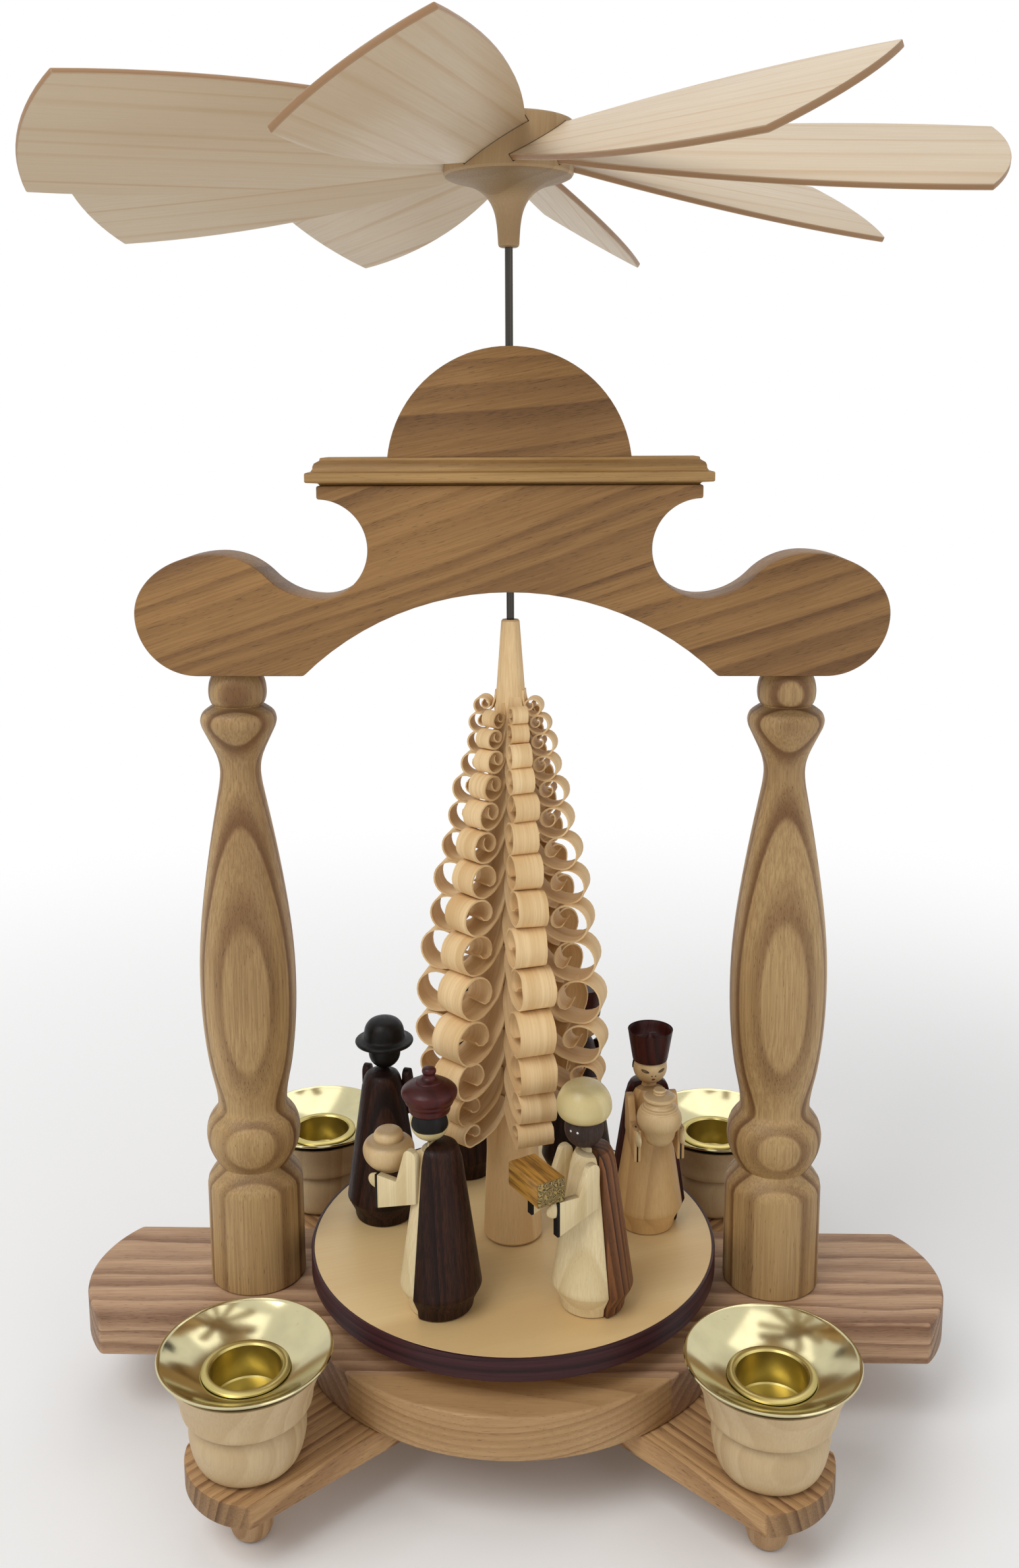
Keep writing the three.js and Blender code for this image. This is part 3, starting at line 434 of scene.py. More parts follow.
def sawn_off(board, name, level, side):
    """Saws off the part of a board beyond Y = level on one side, and gives it back as a piece of its own."""
    halves = []
    for kept_side in (-side, side):
        cut = bmesh.new()
        cut.from_mesh(board.data)
        edges = bmesh.ops.bisect_plane(
            cut, geom=[*cut.verts, *cut.edges, *cut.faces], plane_co=(0, level * MM, 0),
            plane_no=(0, -kept_side, 0), clear_outer=True)["geom_cut"]
        bmesh.ops.contextual_create(cut, geom=[e for e in edges if isinstance(e, bmesh.types.BMEdge)])
        mesh = bpy.data.meshes.new(name)
        cut.to_mesh(mesh)
        cut.free()
        halves.append(mesh)
    board.data = halves[0]
    return placed(name, halves[1])


base_ash = wood("ash of the middle plank", tint(196, 160, 126), tint(124, 88, 62), ring=3.0, pith=70,
                bent=0.55, bend_length=9, band=0.75, fibre=0.4, pores=0.6, blotch=0.35, rough=0.55,
                relief=0.12, uneven=0.8, late=True, ridge=1.3)
edge_ash = wood("ash of the edge planks", tint(192, 156, 110), tint(154, 116, 74), ring=1.9, pith=240,
                bent=0.28, bend_length=40, band=0.6, fibre=0.35, pores=0.75, blotch=0.45, rough=0.52,
                relief=0.08, late=True, ridge=0.4)
plate = shown("base_plate_board", *sawn(plate_outline(), PLATE_THICKNESS), (0, 0, middle("base_plate")[2]))
eased(plate, 0.9, 3)
front_plank = sawn_off(plate, "base_plate_front_plank", -GLUE_LINE, -1)
back_plank = sawn_off(plate, "base_plate_back_plank", GLUE_LINE, 1)
grained(plate, base_ash, along=(1, 0.03, 0.02), bark=(0, -0.8, 1), shift=(0, 4, 30))
grained(front_plank, edge_ash, along=(1, -0.03, 0.04), bark=(0, -0.06, 1), shift=(3, 0, 260))
grained(back_plank, edge_ash, along=(1, 0.02, 0.02), bark=(0, 0.08, 1), shift=(9, 5, 480))
for plank, nodes in ((plate, ("base_plate",)), (front_plank, ()), (back_plank, ())):
    softened(plank.data)
    fitted(plank, "stand", "ash", *nodes)

# Candle cups: four turned cups of pale maple with a ledge under the bowl, glued on the arms over the pegs.
# Each has a dished top that carries the drip pan.

CUP_BARREL = [(9.8, 0), (11.3, 0.5), (12.5, 1.9), (13.4, 4.2), (14.0, 7), (14.2, 9.2), (14.0, 11.2),
              (13.5, 12.7), (12.9, 13.6)]
CUP_BOWL = [(13.3, 13.9), (14.4, 14.2), (15.4, 15.0), (15.9, 16.2), (16.05, 17.5), (16.6, 20), (17.7, 22.8),
            (18.7, 25.3), (19.0, 26.0)]
CUP_INSIDE = [(18.6, 26.1), (10.9, 22.4), (9.5, 22.4), (9.5, 12), (0, 12)]
cup_wood = wood("maple of the cups", tint(203, 179, 138), tint(185, 155, 113), ring=5.0, pith=45, bent=3,
                bend_length=50, band=0.7, fibre=0.4, pores=0.2, blotch=0.4, rough=0.52, coat=0.1,
                relief=0.02)
for index, side in enumerate(SIDES):
    mesh = turned([(0, 0), *smooth(CUP_BARREL, 3), *smooth(CUP_BOWL, 3), *CUP_INSIDE], 72)
    cup = shown(f"candle_cup_{side}_turned", *mesh, middle(f"candle_cup_{side}"))
    grained(cup, cup_wood, along=(0.05, 0.02, 1), shift=(17 * index, 5 * index, 33 * index))
    fitted(cup, "stand", "lime_wood", f"candle_cup_{side}")

# Drip pans and candle sockets: spun and drawn brass, polished, with fine lines from the lathe.
# The socket's rolled flange holds the pan down in the dished top of the cup.

PAN_PROFILE = [(9.5, 0), (10.9, 0), (20.4, 5.2), (20.9, 5.5), (21.1, 5.9), (20.9, 6.2), (20.4, 6.1),
               (20.0, 5.75), (10.7, 0.7), (9.5, 0.7), (9.5, 0)]
SOCKET_PROFILE = [(0, 0), (8.0, 0), (8.9, 0.5), (9.2, 1.3), (9.2, 9.0), (10.3, 9.0), (10.7, 9.2), (10.7, 9.6),
                  (10.2, 9.95), (9.5, 10.1), (8.9, 9.95), (8.55, 9.5), (8.5, 8.8), (8.5, 1.3), (8.2, 0.9),
                  (7.4, 0.7), (3.2, 0.75), (2.6, 0.95), (1.6, 1.5), (0, 1.65)]


def parts(value):
    """The X, Y and Z of a vector."""
    return [add(value.tree, "ShaderNodeSeparateXYZ", {0: value})[axis] for axis in "XYZ"]


def brass(name, colour, rough, lines):
    """Polished brass with rings of fine lathe lines, told by the attribute grain, measured from the axis."""
    material, tree, skin = bare_material(name)
    place = read(tree, "grain", "Vector")
    from_axis = (place * (1, 1, 0)).math("LENGTH")["Value"]
    scored = ripple(from_axis + parts(place)[2], 9000.0, 2.0)
    smears = noise(place, 90.0, 3.0)
    specks = between(noise(place, 900.0, 1.0), 0.7, 0.8)
    dull = toned(colour, 0.72)
    tone = colours(between(smears, 0.4, 0.75, 0.0, 0.5), colour, dull)
    feed(skin, {
        "Base Color": colours(specks * 0.35, tone, dull), "Normal": bump(scored, 0.004, 0.35),
        "Roughness": smears * 0.16 + scored * lines + (rough - 0.08), "Metallic": 1.0,
    })
    return material


def centred(made, material):
    """Gives a turned metal piece its finish, and writes each point's place from the piece's own axis."""
    points = points_of(made)
    points = points - np.array([*((points.max(0) + points.min(0)) / 2)[:2], points[:, 2].min()])
    written(made, "grain", points, "FLOAT_VECTOR")
    made.data.materials.append(material)


pan_brass = brass("polished brass of the pans", tint(206, 197, 156), 0.11, 0.05)
socket_brass = brass("satin brass of the sockets", tint(190, 174, 110), 0.26, 0.1)
for side in SIDES:
    pan = shown(f"drip_pan_{side}_spun", *turned(PAN_PROFILE, 96), middle(f"drip_pan_{side}"))
    mesh = turned(SOCKET_PROFILE, 72)
    socket = shown(f"candle_socket_{side}_drawn", *mesh, middle(f"candle_socket_{side}"))
    centred(pan, pan_brass)
    centred(socket, socket_brass)
    fitted(pan, "stand", "brass", f"drip_pan_{side}")
    fitted(socket, "stand", "brass", f"candle_socket_{side}")

# Columns: two posts of pale ash turned to a block, a ring, a long vase and a double bead.
# The growth rings lie flat to the front, so the swelling vase cuts them into long ovals.

COLUMN_LOW = [(12.7, 0), (13.1, 0.5), (13.1, 28.2), (12.8, 29.8), (11.9, 31.3), (10.9, 32.6), (9.9, 33.9)]
COLUMN_RING = [(9.7, 34.3), (11.0, 36.4), (12.3, 39.5), (12.8, 42.8), (12.5, 45.6), (11.9, 47.4)]
COLUMN_VASE = [(11.6, 47.9), (10.9, 48.9), (9.9, 50.2), (9.4, 52), (9.8, 56), (11.2, 63), (12.3, 72),
               (12.85, 82), (12.75, 93), (11.9, 104), (10.3, 116), (8.3, 128), (6.5, 137.5), (5.6, 142.5),
               (5.4, 146.3), (6.2, 150), (8.3, 154.6)]
COLUMN_CAP = [(9.6, 157.3), (10, 159.2), (9.4, 161.2), (7.7, 162.6), (6.9, 163.1), (6.6, 163.4), (7.0, 163.9),
              (7.5, 165.4), (7.6, 167.5), (7.2, 169.8), (6.3, 171.9)]
COLUMN_MIDDLE = 84.0
GLUE_FILM = 0.05
column_ash = wood("ash of the columns", tint(184, 152, 103), tint(115, 79, 43), ring=4.2, pith=59.55,
                  bent=0.3, band=0.5, pores=0.75, blotch=0.5, relief=0.07, uneven=0.0, late=True)
for side, bark, lean in (("left", (0.13, -0.99, 0), -0.006), ("right", (-0.014, -1, 0), 0.004)):
    x, y, _ = middle(f"column_{side}")
    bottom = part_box("base_plate")[1].z / MM + GLUE_FILM
    profile = [(0, 0), *COLUMN_LOW]
    for turning in (COLUMN_RING, COLUMN_VASE, COLUMN_CAP):
        profile += smooth(turning, 3)
    column = shown(f"column_{side}_turned", *turned([*profile, (0, profile[-1][1])], 72), (x, y, bottom))
    grained(column, column_ash, along=(0.003, lean, 1), bark=bark, shift=(0, 0, 3 * x),
            axis=(x, y, bottom + COLUMN_MIDDLE))
    fitted(column, "stand", "ash", f"column_{side}")

# Arch board: one thick ash board, sawn to scrolled ends, two half-round cuts and a flat arch.
# It is glued on the columns' tenons, and its dark bands of grain climb to the right.

ARCH_THICKNESS = 16.0
ARCH_HEIGHT = 48.6
UNDER_ARCH_RADIUS = 76.3
UNDER_ARCH_RISE = 21.6
SCROLL_RADIUS = 15.8
SCROLL_X = 80.5
SCROLL_CROWN_X = 75.5
SCROLL_HEIGHT = 31.4
DIP_X = 48.6
DIP_HEIGHT = 20.0
CUT_RADIUS = 12.6
PASSAGE_RADIUS = 2.4


def arch_outline():
    foot_x = math.sqrt(UNDER_ARCH_RADIUS**2 - (UNDER_ARCH_RADIUS - UNDER_ARCH_RISE) ** 2)
    spring = math.degrees(math.acos(foot_x / UNDER_ARCH_RADIUS))
    reach = SCROLL_X + SCROLL_RADIUS - SCROLL_CROWN_X
    run, drop = SCROLL_CROWN_X - DIP_X, SCROLL_HEIGHT - DIP_HEIGHT
    sweep = (run**2 + drop**2) / (4 * drop)
    turn = math.degrees(math.asin(run / 2 / sweep))
    half = (arc(0, UNDER_ARCH_RISE - UNDER_ARCH_RADIUS, UNDER_ARCH_RADIUS, 90, spring)
            + arc(SCROLL_X, SCROLL_RADIUS, SCROLL_RADIUS, -90, 0)
            + arc(SCROLL_CROWN_X, SCROLL_RADIUS, reach, 0, 90, SCROLL_HEIGHT - SCROLL_RADIUS)
            + arc(SCROLL_CROWN_X, SCROLL_HEIGHT - sweep, sweep, 90, 90 + turn)
            + arc(DIP_X, DIP_HEIGHT + sweep, sweep, turn - 90, -90)
            + arc(DIP_X, DIP_HEIGHT + CUT_RADIUS, CUT_RADIUS, -90, -270)
            + [(DIP_X, ARCH_HEIGHT)])
    return half + [(-x, z) for x, z in reversed(half[1:])]


def upright(outline, thickness):
    """A board with its outline stood up in X and Z, centred on Y 0."""
    points, faces = sawn(outline, thickness)
    return [(x, thickness / 2 - z, y) for x, y, z in points], faces


def bored(made, radius, height, bottom):
    """A board with a round passage for the shaft, bored up through it."""
    drill = turned([(0, -5), (radius, -5), (radius, height), (0, height)], 24)
    return carved(made, shown("passage", *drill, (0, 0, bottom)))


arch_ash = wood("ash of the arch", tint(156, 116, 67), tint(109, 74, 37), ring=6.5, pith=110, bent=5.5,
                band=0.7, pores=0.75, blotch=0.35, relief=0.07, late=True)
bottom = middle("arch_board")[2]
arch = shown("arch_board_sawn", *upright(arch_outline(), ARCH_THICKNESS), (0, 0, bottom))
eased(bored(arch, PASSAGE_RADIUS, 60, bottom), 0.5)
grained(arch, arch_ash, along=(1, 0.02, 0.33), bark=(-0.33, -0.3, 1), shift=(0, -200, 0))
fitted(arch, "stand", "ash", "arch_board")

# Cornice: a moulded ash strip with a cove and a step all round, glued on the arch board.
# Its straight grain runs along it.

CORNICE_HALF_LENGTH = 51.2
CORNICE_HALF_DEPTH = 9.9
CORNICE_STEPS = [(3.3, 0), (3.0, 0.5), (0.25, 0.75), (0, 1.0), (0, 2.9), (0.2, 3.2), (1.4, 3.5), (1.8, 4.1),
                 (1.9, 4.9), (2.2, 5.5), (2.9, 5.9), (3.4, 6.2), (3.5, 6.7), (3.6, 6.9)]


def oblong(start, end, half_width):
    """The corners of an oblong that lies along X."""
    return [(start, -half_width), (end, -half_width), (end, half_width), (start, half_width)]


cornice_ash = wood("ash of the cornice", tint(182, 144, 89), tint(135, 100, 57), ring=2.6, pith=50, bent=0.8,
                   band=0.6, pores=0.6, rough=0.52, relief=0.07)
bottom = middle("cornice_moulding")[2]
points = []
for inset, level in CORNICE_STEPS:
    length = CORNICE_HALF_LENGTH - inset
    points += [(x, y, level) for x, y in oblong(-length, length, CORNICE_HALF_DEPTH - inset)]
cornice = shown("cornice_moulding_strip", points, closed(len(CORNICE_STEPS), 4), (0, 0, bottom))
eased(bored(cornice, PASSAGE_RADIUS, 20, bottom), 0.2, angle=50)
grained(cornice, cornice_ash, along=(1, 0, 0.012), bark=(0, -0.4, 1), shift=(0, -270, 0))
fitted(cornice, "stand", "ash", "cornice_moulding")

# Top block: a half-round ash board that stands on the cornice, bored for the shaft.
# Its grain climbs to the right, as on the arch.

TOP_RADIUS = 30.9
TOP_RISE = 27.2
TOP_THICKNESS = 12.0
TOP_PASSAGE_RADIUS = 2.2
drop = TOP_RADIUS - TOP_RISE
start = math.degrees(math.asin(drop / TOP_RADIUS))
bottom = middle("top_block")[2]
outline = arc(0, -drop, TOP_RADIUS, start, 180 - start)
block = shown("top_block_sawn", *upright(outline, TOP_THICKNESS), (0, 0, bottom))
eased(bored(block, TOP_PASSAGE_RADIUS, 60, bottom), 0.5)
grained(block, arch_ash, along=(1, 0.02, 0.19), bark=(-0.2, -0.5, 1), shift=(30, -265, 240))
fitted(block, "stand", "ash", "top_block")

# Bearings: a brass cup in the base plate takes the shaft's point, and a brass bush in the arch guides it.
# Both stay as the solids are, and only get their finish.

for node in ("bottom_bearing", "guide_bush"):
    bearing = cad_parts[node]
    bearing.data.materials.clear()
    written(bearing, "grain", points_of(bearing), "FLOAT_VECTOR")
    bearing.data.materials.append(socket_brass)

# Shaft: a dark drawn steel rod that carries the tree, the table and the fan.
# It is ground to a point below, and pressed into the fan's hub above.

SHAFT_RADIUS = 1.0
SHAFT_POINT = 1.6
steel, tree, skin = bare_material("drawn steel of the shaft")
drawn = noise(add(tree, "ShaderNodeTexCoord")["Object"] * (9000, 9000, 60), 1.0, 3.0)
feed(skin, {"Base Color": colours(drawn, tint(86, 82, 77), tint(54, 50, 45)),
            "Roughness": between(drawn, 0.2, 0.8, 0.18, 0.34), "Metallic": 1.0})
low, high = (corner.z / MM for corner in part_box("shaft"))
profile = [(0, low), (0.25, low), (SHAFT_RADIUS, low + SHAFT_POINT), (SHAFT_RADIUS, high), (0, high)]
shaft = shown("shaft_rod", *turned(profile, 32))
shaft.data.materials.append(steel)
fitted(shaft, "rotor", "steel", "shaft")

# Turntable: a round maple board with a dark veneer band glued round its edge.
# It is turned true on the lathe and glued on the shaft.

TABLE_RADIUS = 56.1
TABLE_THICKNESS = 6.2
BAND_THICKNESS = 0.8
table_maple = wood("maple of the turntable", tint(225, 197, 144), tint(211, 178, 124), ring=14, pith=150,
                   bent=8, bend_length=80, band=0.7, fibre=0.25, pores=0.06, blotch=0.5, rough=0.46,
                   coat=0.2, relief=0.01)
band_veneer = wood("veneer of the edge band", tint(68, 36, 38), tint(40, 20, 22), ring=1.4, pith=40,
                   pores=0.4, rough=0.42, relief=0.03, shine=0.2)
table_bottom = middle("turntable")[2]
inside = TABLE_RADIUS - BAND_THICKNESS
profile = [(0, 0), (inside - 0.3, 0), (inside - 0.02, 0.3), (inside - 0.02, TABLE_THICKNESS - 0.15),
           (inside - 0.15, TABLE_THICKNESS), (0, TABLE_THICKNESS)]
table = shown("turntable_board", *turned(profile, 128), (0, 0, table_bottom))
grained(table, table_maple, along=(1, 0.35, 0), bark=(0, -0.2, 1))
profile = [(inside, 0.1), (TABLE_RADIUS - 0.25, 0), (TABLE_RADIUS, 0.3),
           (TABLE_RADIUS, TABLE_THICKNESS - 0.35), (TABLE_RADIUS - 0.2, TABLE_THICKNESS),
           (inside, TABLE_THICKNESS), (inside, 0.1)]
band = shown("turntable_edge_band_veneer", *turned(profile, 128), (0, 0, table_bottom))
x, y, z = points_of(band).T
wound = np.stack([z, np.hypot(x, y), np.arctan2(y, x) * TABLE_RADIUS * MM], 1)
written(band, "grain", wound, "FLOAT_VECTOR")
band.data.materials.append(band_veneer)
fitted(table, "rotor", "maple", "turntable")
fitted(band, "rotor", "dark_veneer", "turntable_edge_band")

# Shaving tree: a lime cone on the lathe, whose six rows of shavings are cut down its length and stay on it.
# Each shaving keeps its scooped root on the core and curls out, up and in, to a small loose spiral.

ROWS = 6
CURLS_IN_ROW = 14
FIRST_ROW = -73.0
TREE_HEIGHT = 173.3
BARE_FOOT = 26.0
BARE_TIP = 22.0
TREE_SIZES = {
    "Top Size": 4.3, "Largest Size": 11.9, "Lowest Size": 6.0, "Spacing": 0.1, "Top Reach": 9.0,
    "Widest Reach": 26.0, "Lowest Reach": 24.0, "Top Width": 4.2, "Lowest Width": 9.6,
    "Core Foot": 6.9, "Core Top": 3.6, "Thickness": 0.45,
}
LARGEST_AT = 0.78
ROOT_RUN = 1.2
ROOT_DEPTH = 1.5
WINDING_IN = 75.0
ROUND_CURLS = 5.5
GUIDES = ((240, 170, 0.14), (222, 210, 0.17), (200, 290, 0.25))
ROUND_GUIDE = 2.0
CORE = [(0, 7.2), (0.4, 7.8), (1, 8.2), (BARE_FOOT, 7.1), (TREE_HEIGHT - BARE_TIP, 4.0), (172.9, 2.4),
        (TREE_HEIGHT, 2.1)]
CARVED = (24, 30, 149, 153)
CORE_RIDGE = 0.06
CORE_HOLLOW = 0.17

lime = wood("lime of the tree", tint(238, 209, 161), tint(212, 174, 121), ring=9, pith=80, bent=4, band=0.8,
            fibre=0.6, pores=0.2, blotch=0.4, rough=0.62, relief=0.03)


def shaving_line(open_turn, tail_turn, tail):
    """One shaving seen edge-on, in curl sizes: its root's quarter ellipse, then a ring that winds inwards."""
    quarter = np.linspace(0, math.pi / 2, 10)
    root = [(-ROOT_RUN * math.cos(t), 1.0 - ROOT_DEPTH * math.sin(t)) for t in quarter]
    x, z, heading = 0.0, -0.5, 0.0
    line = []
    step = math.radians(14)
    while heading < math.radians(open_turn + tail_turn):
        share = min(max((heading - math.radians(open_turn)) / math.radians(WINDING_IN), 0), 1)
        radius = 0.5 + (tail - 0.5) * share * share * (3 - 2 * share)
        x += radius * step * math.cos(heading + step / 2)
        z += radius * step * math.sin(heading + step / 2)
        heading += step
        line.append((x, z))
    return root, line


def shaving_guides():
    """The edge-on lines of three kinds of shaving, with the value rooted on the part that is still a root."""
    points, edges, rooted = [], [], []
    for guide in GUIDES:
        root, ring = shaving_line(*guide)
        first = len(points)
        points += [(x, 0, z) for x, z in root + ring]
        rooted += [1.0] * len(root) + [0.0] * len(ring)
        edges += [(i, i + 1) for i in range(first, len(points) - 1)]
    mesh = bpy.data.meshes.new("shaving guides")
    mesh.from_pydata(points, edges, [])
    made = placed("shaving_rows", mesh)
    written(made, "rooted", rooted)
    return made


def node_tree(name, sizes, whole):
    """An empty Geometry Nodes tree whose named inputs are lengths in millimetres and whole numbers."""
    group = bpy.data.node_groups.new(name, "GeometryNodeTree")
    kinds = [("Geometry", "Geometry"), *((key, "Float") for key in sizes), *((key, "Int") for key in whole)]
    group.interface.new_socket("Geometry", in_out="OUTPUT", socket_type="NodeSocketGeometry")
    for key, kind in kinds:
        group.interface.new_socket(key, in_out="INPUT", socket_type=f"NodeSocket{kind}")
    given = group.nodes.new("NodeGroupInput").outputs
    return group, {key: Wire(given[key]) for key, kind in kinds}


def grow(made, group, values):
    """Puts a tree on an object as a modifier, sets its named inputs and works it into the mesh."""
    modifier = made.modifiers.new(group.name, "NODES")
    modifier.node_group = group
    for socket in group.interface.items_tree:
        if socket.in_out == "INPUT" and socket.name in values:
            modifier[socket.identifier] = values[socket.name]
    return settled(made)


def chance(low, high, seed):
    """A random value for each point."""
    return add(seed.tree, "FunctionNodeRandomValue", {2: low, 3: high, "Seed": seed}, data_type="FLOAT")[1]


def kept(geometry, name, value, kind="FLOAT"):
    """The geometry with a value stored on its points under a name."""
    inputs = {"Geometry": geometry, "Name": name, "Value": value}
    return add(geometry.tree, "GeometryNodeStoreNamedAttribute", inputs, data_type=kind, domain="POINT")


def recalled(tree, name, kind="FLOAT"):
    """The value stored on the geometry under a name."""
    return add(tree, "GeometryNodeInputNamedAttribute", {"Name": name}, data_type=kind)


def mix(first, second, share):
    return share * (second - first) + first


def joined(tree, x=0.0, y=0.0, z=0.0):
    """A vector from its X, Y and Z."""
    return add(tree, "ShaderNodeCombineXYZ", {0: x, 1: y, 2: z})


def copies(seats, piece, **inputs):
    """A copy of a piece on each seat, as real geometry."""
    inputs = {"Points": seats, "Instance": piece, **inputs}
    instances = add(seats.tree, "GeometryNodeInstanceOnPoints", inputs)
    return add(seats.tree, "GeometryNodeRealizeInstances", {0: instances})


def ended(tree, geometry, names, material):
    """Takes the named values off the geometry, gives it its material and ends the tree with it."""
    for name in names:
        geometry = add(tree, "GeometryNodeRemoveAttribute", {"Geometry": geometry, "Name": name})
    geometry = add(tree, "GeometryNodeSetMaterial", {"Geometry": geometry, "Material": material})
    feed(tree.nodes.new("NodeGroupOutput"), {0: geometry})
    return tree


def shaving_rows_tree():
    """Places the curls row by row, gives each its size, and bends a flat strip along its line."""
    tree, given = node_tree("shaving rows", TREE_SIZES, ("Rows", "Curls", "Seed"))
    seed = given["Seed"]
    index = add(tree, "GeometryNodeInputIndex")
    row = ((index + 0.5) / given["Curls"]).math("FLOOR")
    place = index - row * given["Curls"]
    last = given["Curls"] - 1.0
    largest = last * LARGEST_AT
    rise = (place / largest).math("MINIMUM", 1.0)
    fall = (place - largest).math("MAXIMUM", 0.0) / (last - largest)
    size = mix(mix(given["Top Size"], given["Largest Size"], rise), given["Lowest Size"], fall)
    swell = mix(given["Top Reach"], given["Widest Reach"], rise.math("POWER", 1.15))
    steps = {"Value": size + given["Spacing"], "Group ID": row}
    above = add(tree, "GeometryNodeAccumulateField", steps, data_type="FLOAT", domain="POINT")["Trailing"]
    third = (row + 1.0).math("MODULO", 3.0) - 1.0
    open_kind = chance(0.0, 1.999, seed + 3.0).math("FLOOR")
    stored = {
        "row_turn": (row * (360 / ROWS) + FIRST_ROW + chance(-2.0, 2.0, seed)).math("RADIANS"),
        "level": TREE_HEIGHT - BARE_TIP - above - size * 0.5 + third * size * (1 / 3),
        "width": mix(given["Top Width"], given["Lowest Width"], rise),
        "size": size * chance(0.95, 1.03, seed + 1.0),
        "reach": mix(swell, given["Lowest Reach"], fall) + chance(-0.6, 0.6, seed + 2.0),
        "guide": mix(open_kind, ROUND_GUIDE, place.math("LESS_THAN", ROUND_CURLS)),
        "skew": chance(-0.06, 0.06, seed + 4.0),
        "odd": chance(0.0, 900.0, seed + 5.0),
    }
    places = add(tree, "GeometryNodeMeshLine", {"Count": given["Rows"] * given["Curls"]})
    for name, value in stored.items():
        places = kept(places, name, value)
    grid = {"Size": (1, 1, 1), "Vertices X": 4, "Vertices Y": 40, "Vertices Z": 2}
    strip = add(tree, "GeometryNodeMeshCube", grid)
    strips = copies(places, kept(strip, "flat", add(tree, "GeometryNodeInputPosition"), "FLOAT_VECTOR"))

    row_turn, level, width, size, reach, guide, skew, odd = (recalled(tree, name) for name in stored)
    side, flat_y, face = parts(recalled(tree, "flat", "FLOAT_VECTOR"))
    along = flat_y + 0.5
    guides = add(tree, "GeometryNodeMeshToCurve", {0: given["Geometry"]})
    line = add(tree, "GeometryNodeSampleCurve", {
        "Curves": guides, "Value": recalled(tree, "rooted"), "Factor": along, "Curve Index": guide,
    }, mode="FACTOR", data_type="FLOAT", use_all_curves=False)
    at_x, _, at_z = parts(line["Position"])
    run_x, _, run_z = parts(line["Tangent"])
    core = mix(given["Core Foot"], given["Core Top"], between(level, BARE_FOOT, TREE_HEIGHT - BARE_TIP))
    centre = reach - size * 0.5
    is_root = line["Value"].math("GREATER_THAN", 0.999)
    stretch = mix(1.0, (centre - core) / (size * ROOT_RUN), is_root)
    facing_x, _, facing_z = parts(joined(tree, run_x * stretch, 0.0, run_z).math("NORMALIZE"))
    ragged = noise(joined(tree, along * 9.0, odd, side.math("SIGN")), 1.0, 2.0)
    taper = between(along, 0.0, 0.16, 0.72, 1.0) * between(along, 0.9, 1.0, 1.0, 0.8)
    breadth = taper * between(ragged, 0.2, 0.8, 0.95, 1.05) * width * side
    thick = face * (given["Thickness"] * between(along, 0.8, 1.0, 1.0, 0.6))
    out = at_x * stretch * size + centre + facing_z * thick
    up = at_z * size + level - facing_x * thick + breadth * skew
    bent = {"Vector": joined(tree, out, breadth, up), "Angle": row_turn}
    swung = add(tree, "ShaderNodeVectorRotate", bent, rotation_type="Z_AXIS") * (MM, MM, MM)
    strips = add(tree, "GeometryNodeSetPosition", {"Geometry": strips, "Position": swung})
    log = joined(tree, breadth + odd, thick, along * 5.0 * size + odd) * (MM, MM, MM)
    return ended(tree, kept(strips, "grain", log, "FLOAT_VECTOR"), (*stored, "flat"), lime)


def core_points(sides=96):
    """The core: round at the foot and the tip, and with a ridge between each two rows where it is carved."""
    levels = [0, 0.4, 1, 3, 8, 16, 22, 25, 28, *range(32, 150, 8), 150, 152, 156, 162, 172.9, TREE_HEIGHT]
    points = []
    for level in levels:
        radius = np.interp(level, *zip(*CORE))
        cut = np.interp(level, CARVED, (0, 1, 1, 0))
        for i in range(sides):
            turn = 2 * math.pi * i / sides
            to_row = (math.degrees(turn) - FIRST_ROW) % (360 / ROWS) / (360 / ROWS)
            hollow = CORE_HOLLOW * abs(2 * to_row - 1) ** 1.5
            reach = radius * (1 + CORE_RIDGE * cut) * (1 - hollow * cut)
            points.append((reach * math.cos(turn), reach * math.sin(turn), level))
    return points, closed(len(levels), sides)


tree_bottom = middle("shaving_tree")[2]
values = {**TREE_SIZES, "Rows": ROWS, "Curls": CURLS_IN_ROW, "Seed": 7}
shavings = grow(shaving_guides(), shaving_rows_tree(), values)
shavings.data.transform(Matrix.Translation((0, 0, tree_bottom * MM)))
softened(shavings.data, 50)
trunk = shown("shaving_tree_core", *core_points(), (0, 0, tree_bottom))
grained(trunk, lime, along=(0, 0, 1), shift=(40, 20, 0))
fitted(shavings, "rotor", "lime_wood")
fitted(trunk, "rotor", "lime_wood", "shaving_tree")

# Fan: eight thin maple blades, each pitched, with its tongue glued in a slanted slot of the hub.
# The rising warm air from the candles turns them.

BLADES = 8
BLADE_THICKNESS = 1.6
BLADE_REACH = 118.0
BLADE_ROOT = 9.9
TONGUE_HALF_WIDTH = 9.0
TIP_HALF_WIDTH = 18.0
TIP_ARC = 4.0
BLADE_BELLY = 4.0
HUB_RADIUS = 16.1
FAN_SIZES = {"First Angle": -12.3, "Pitch": 30.0, "Droop": 4.0, "Height": 24.0}
LOG_STEP = (0.013, 0.004, 0.171)


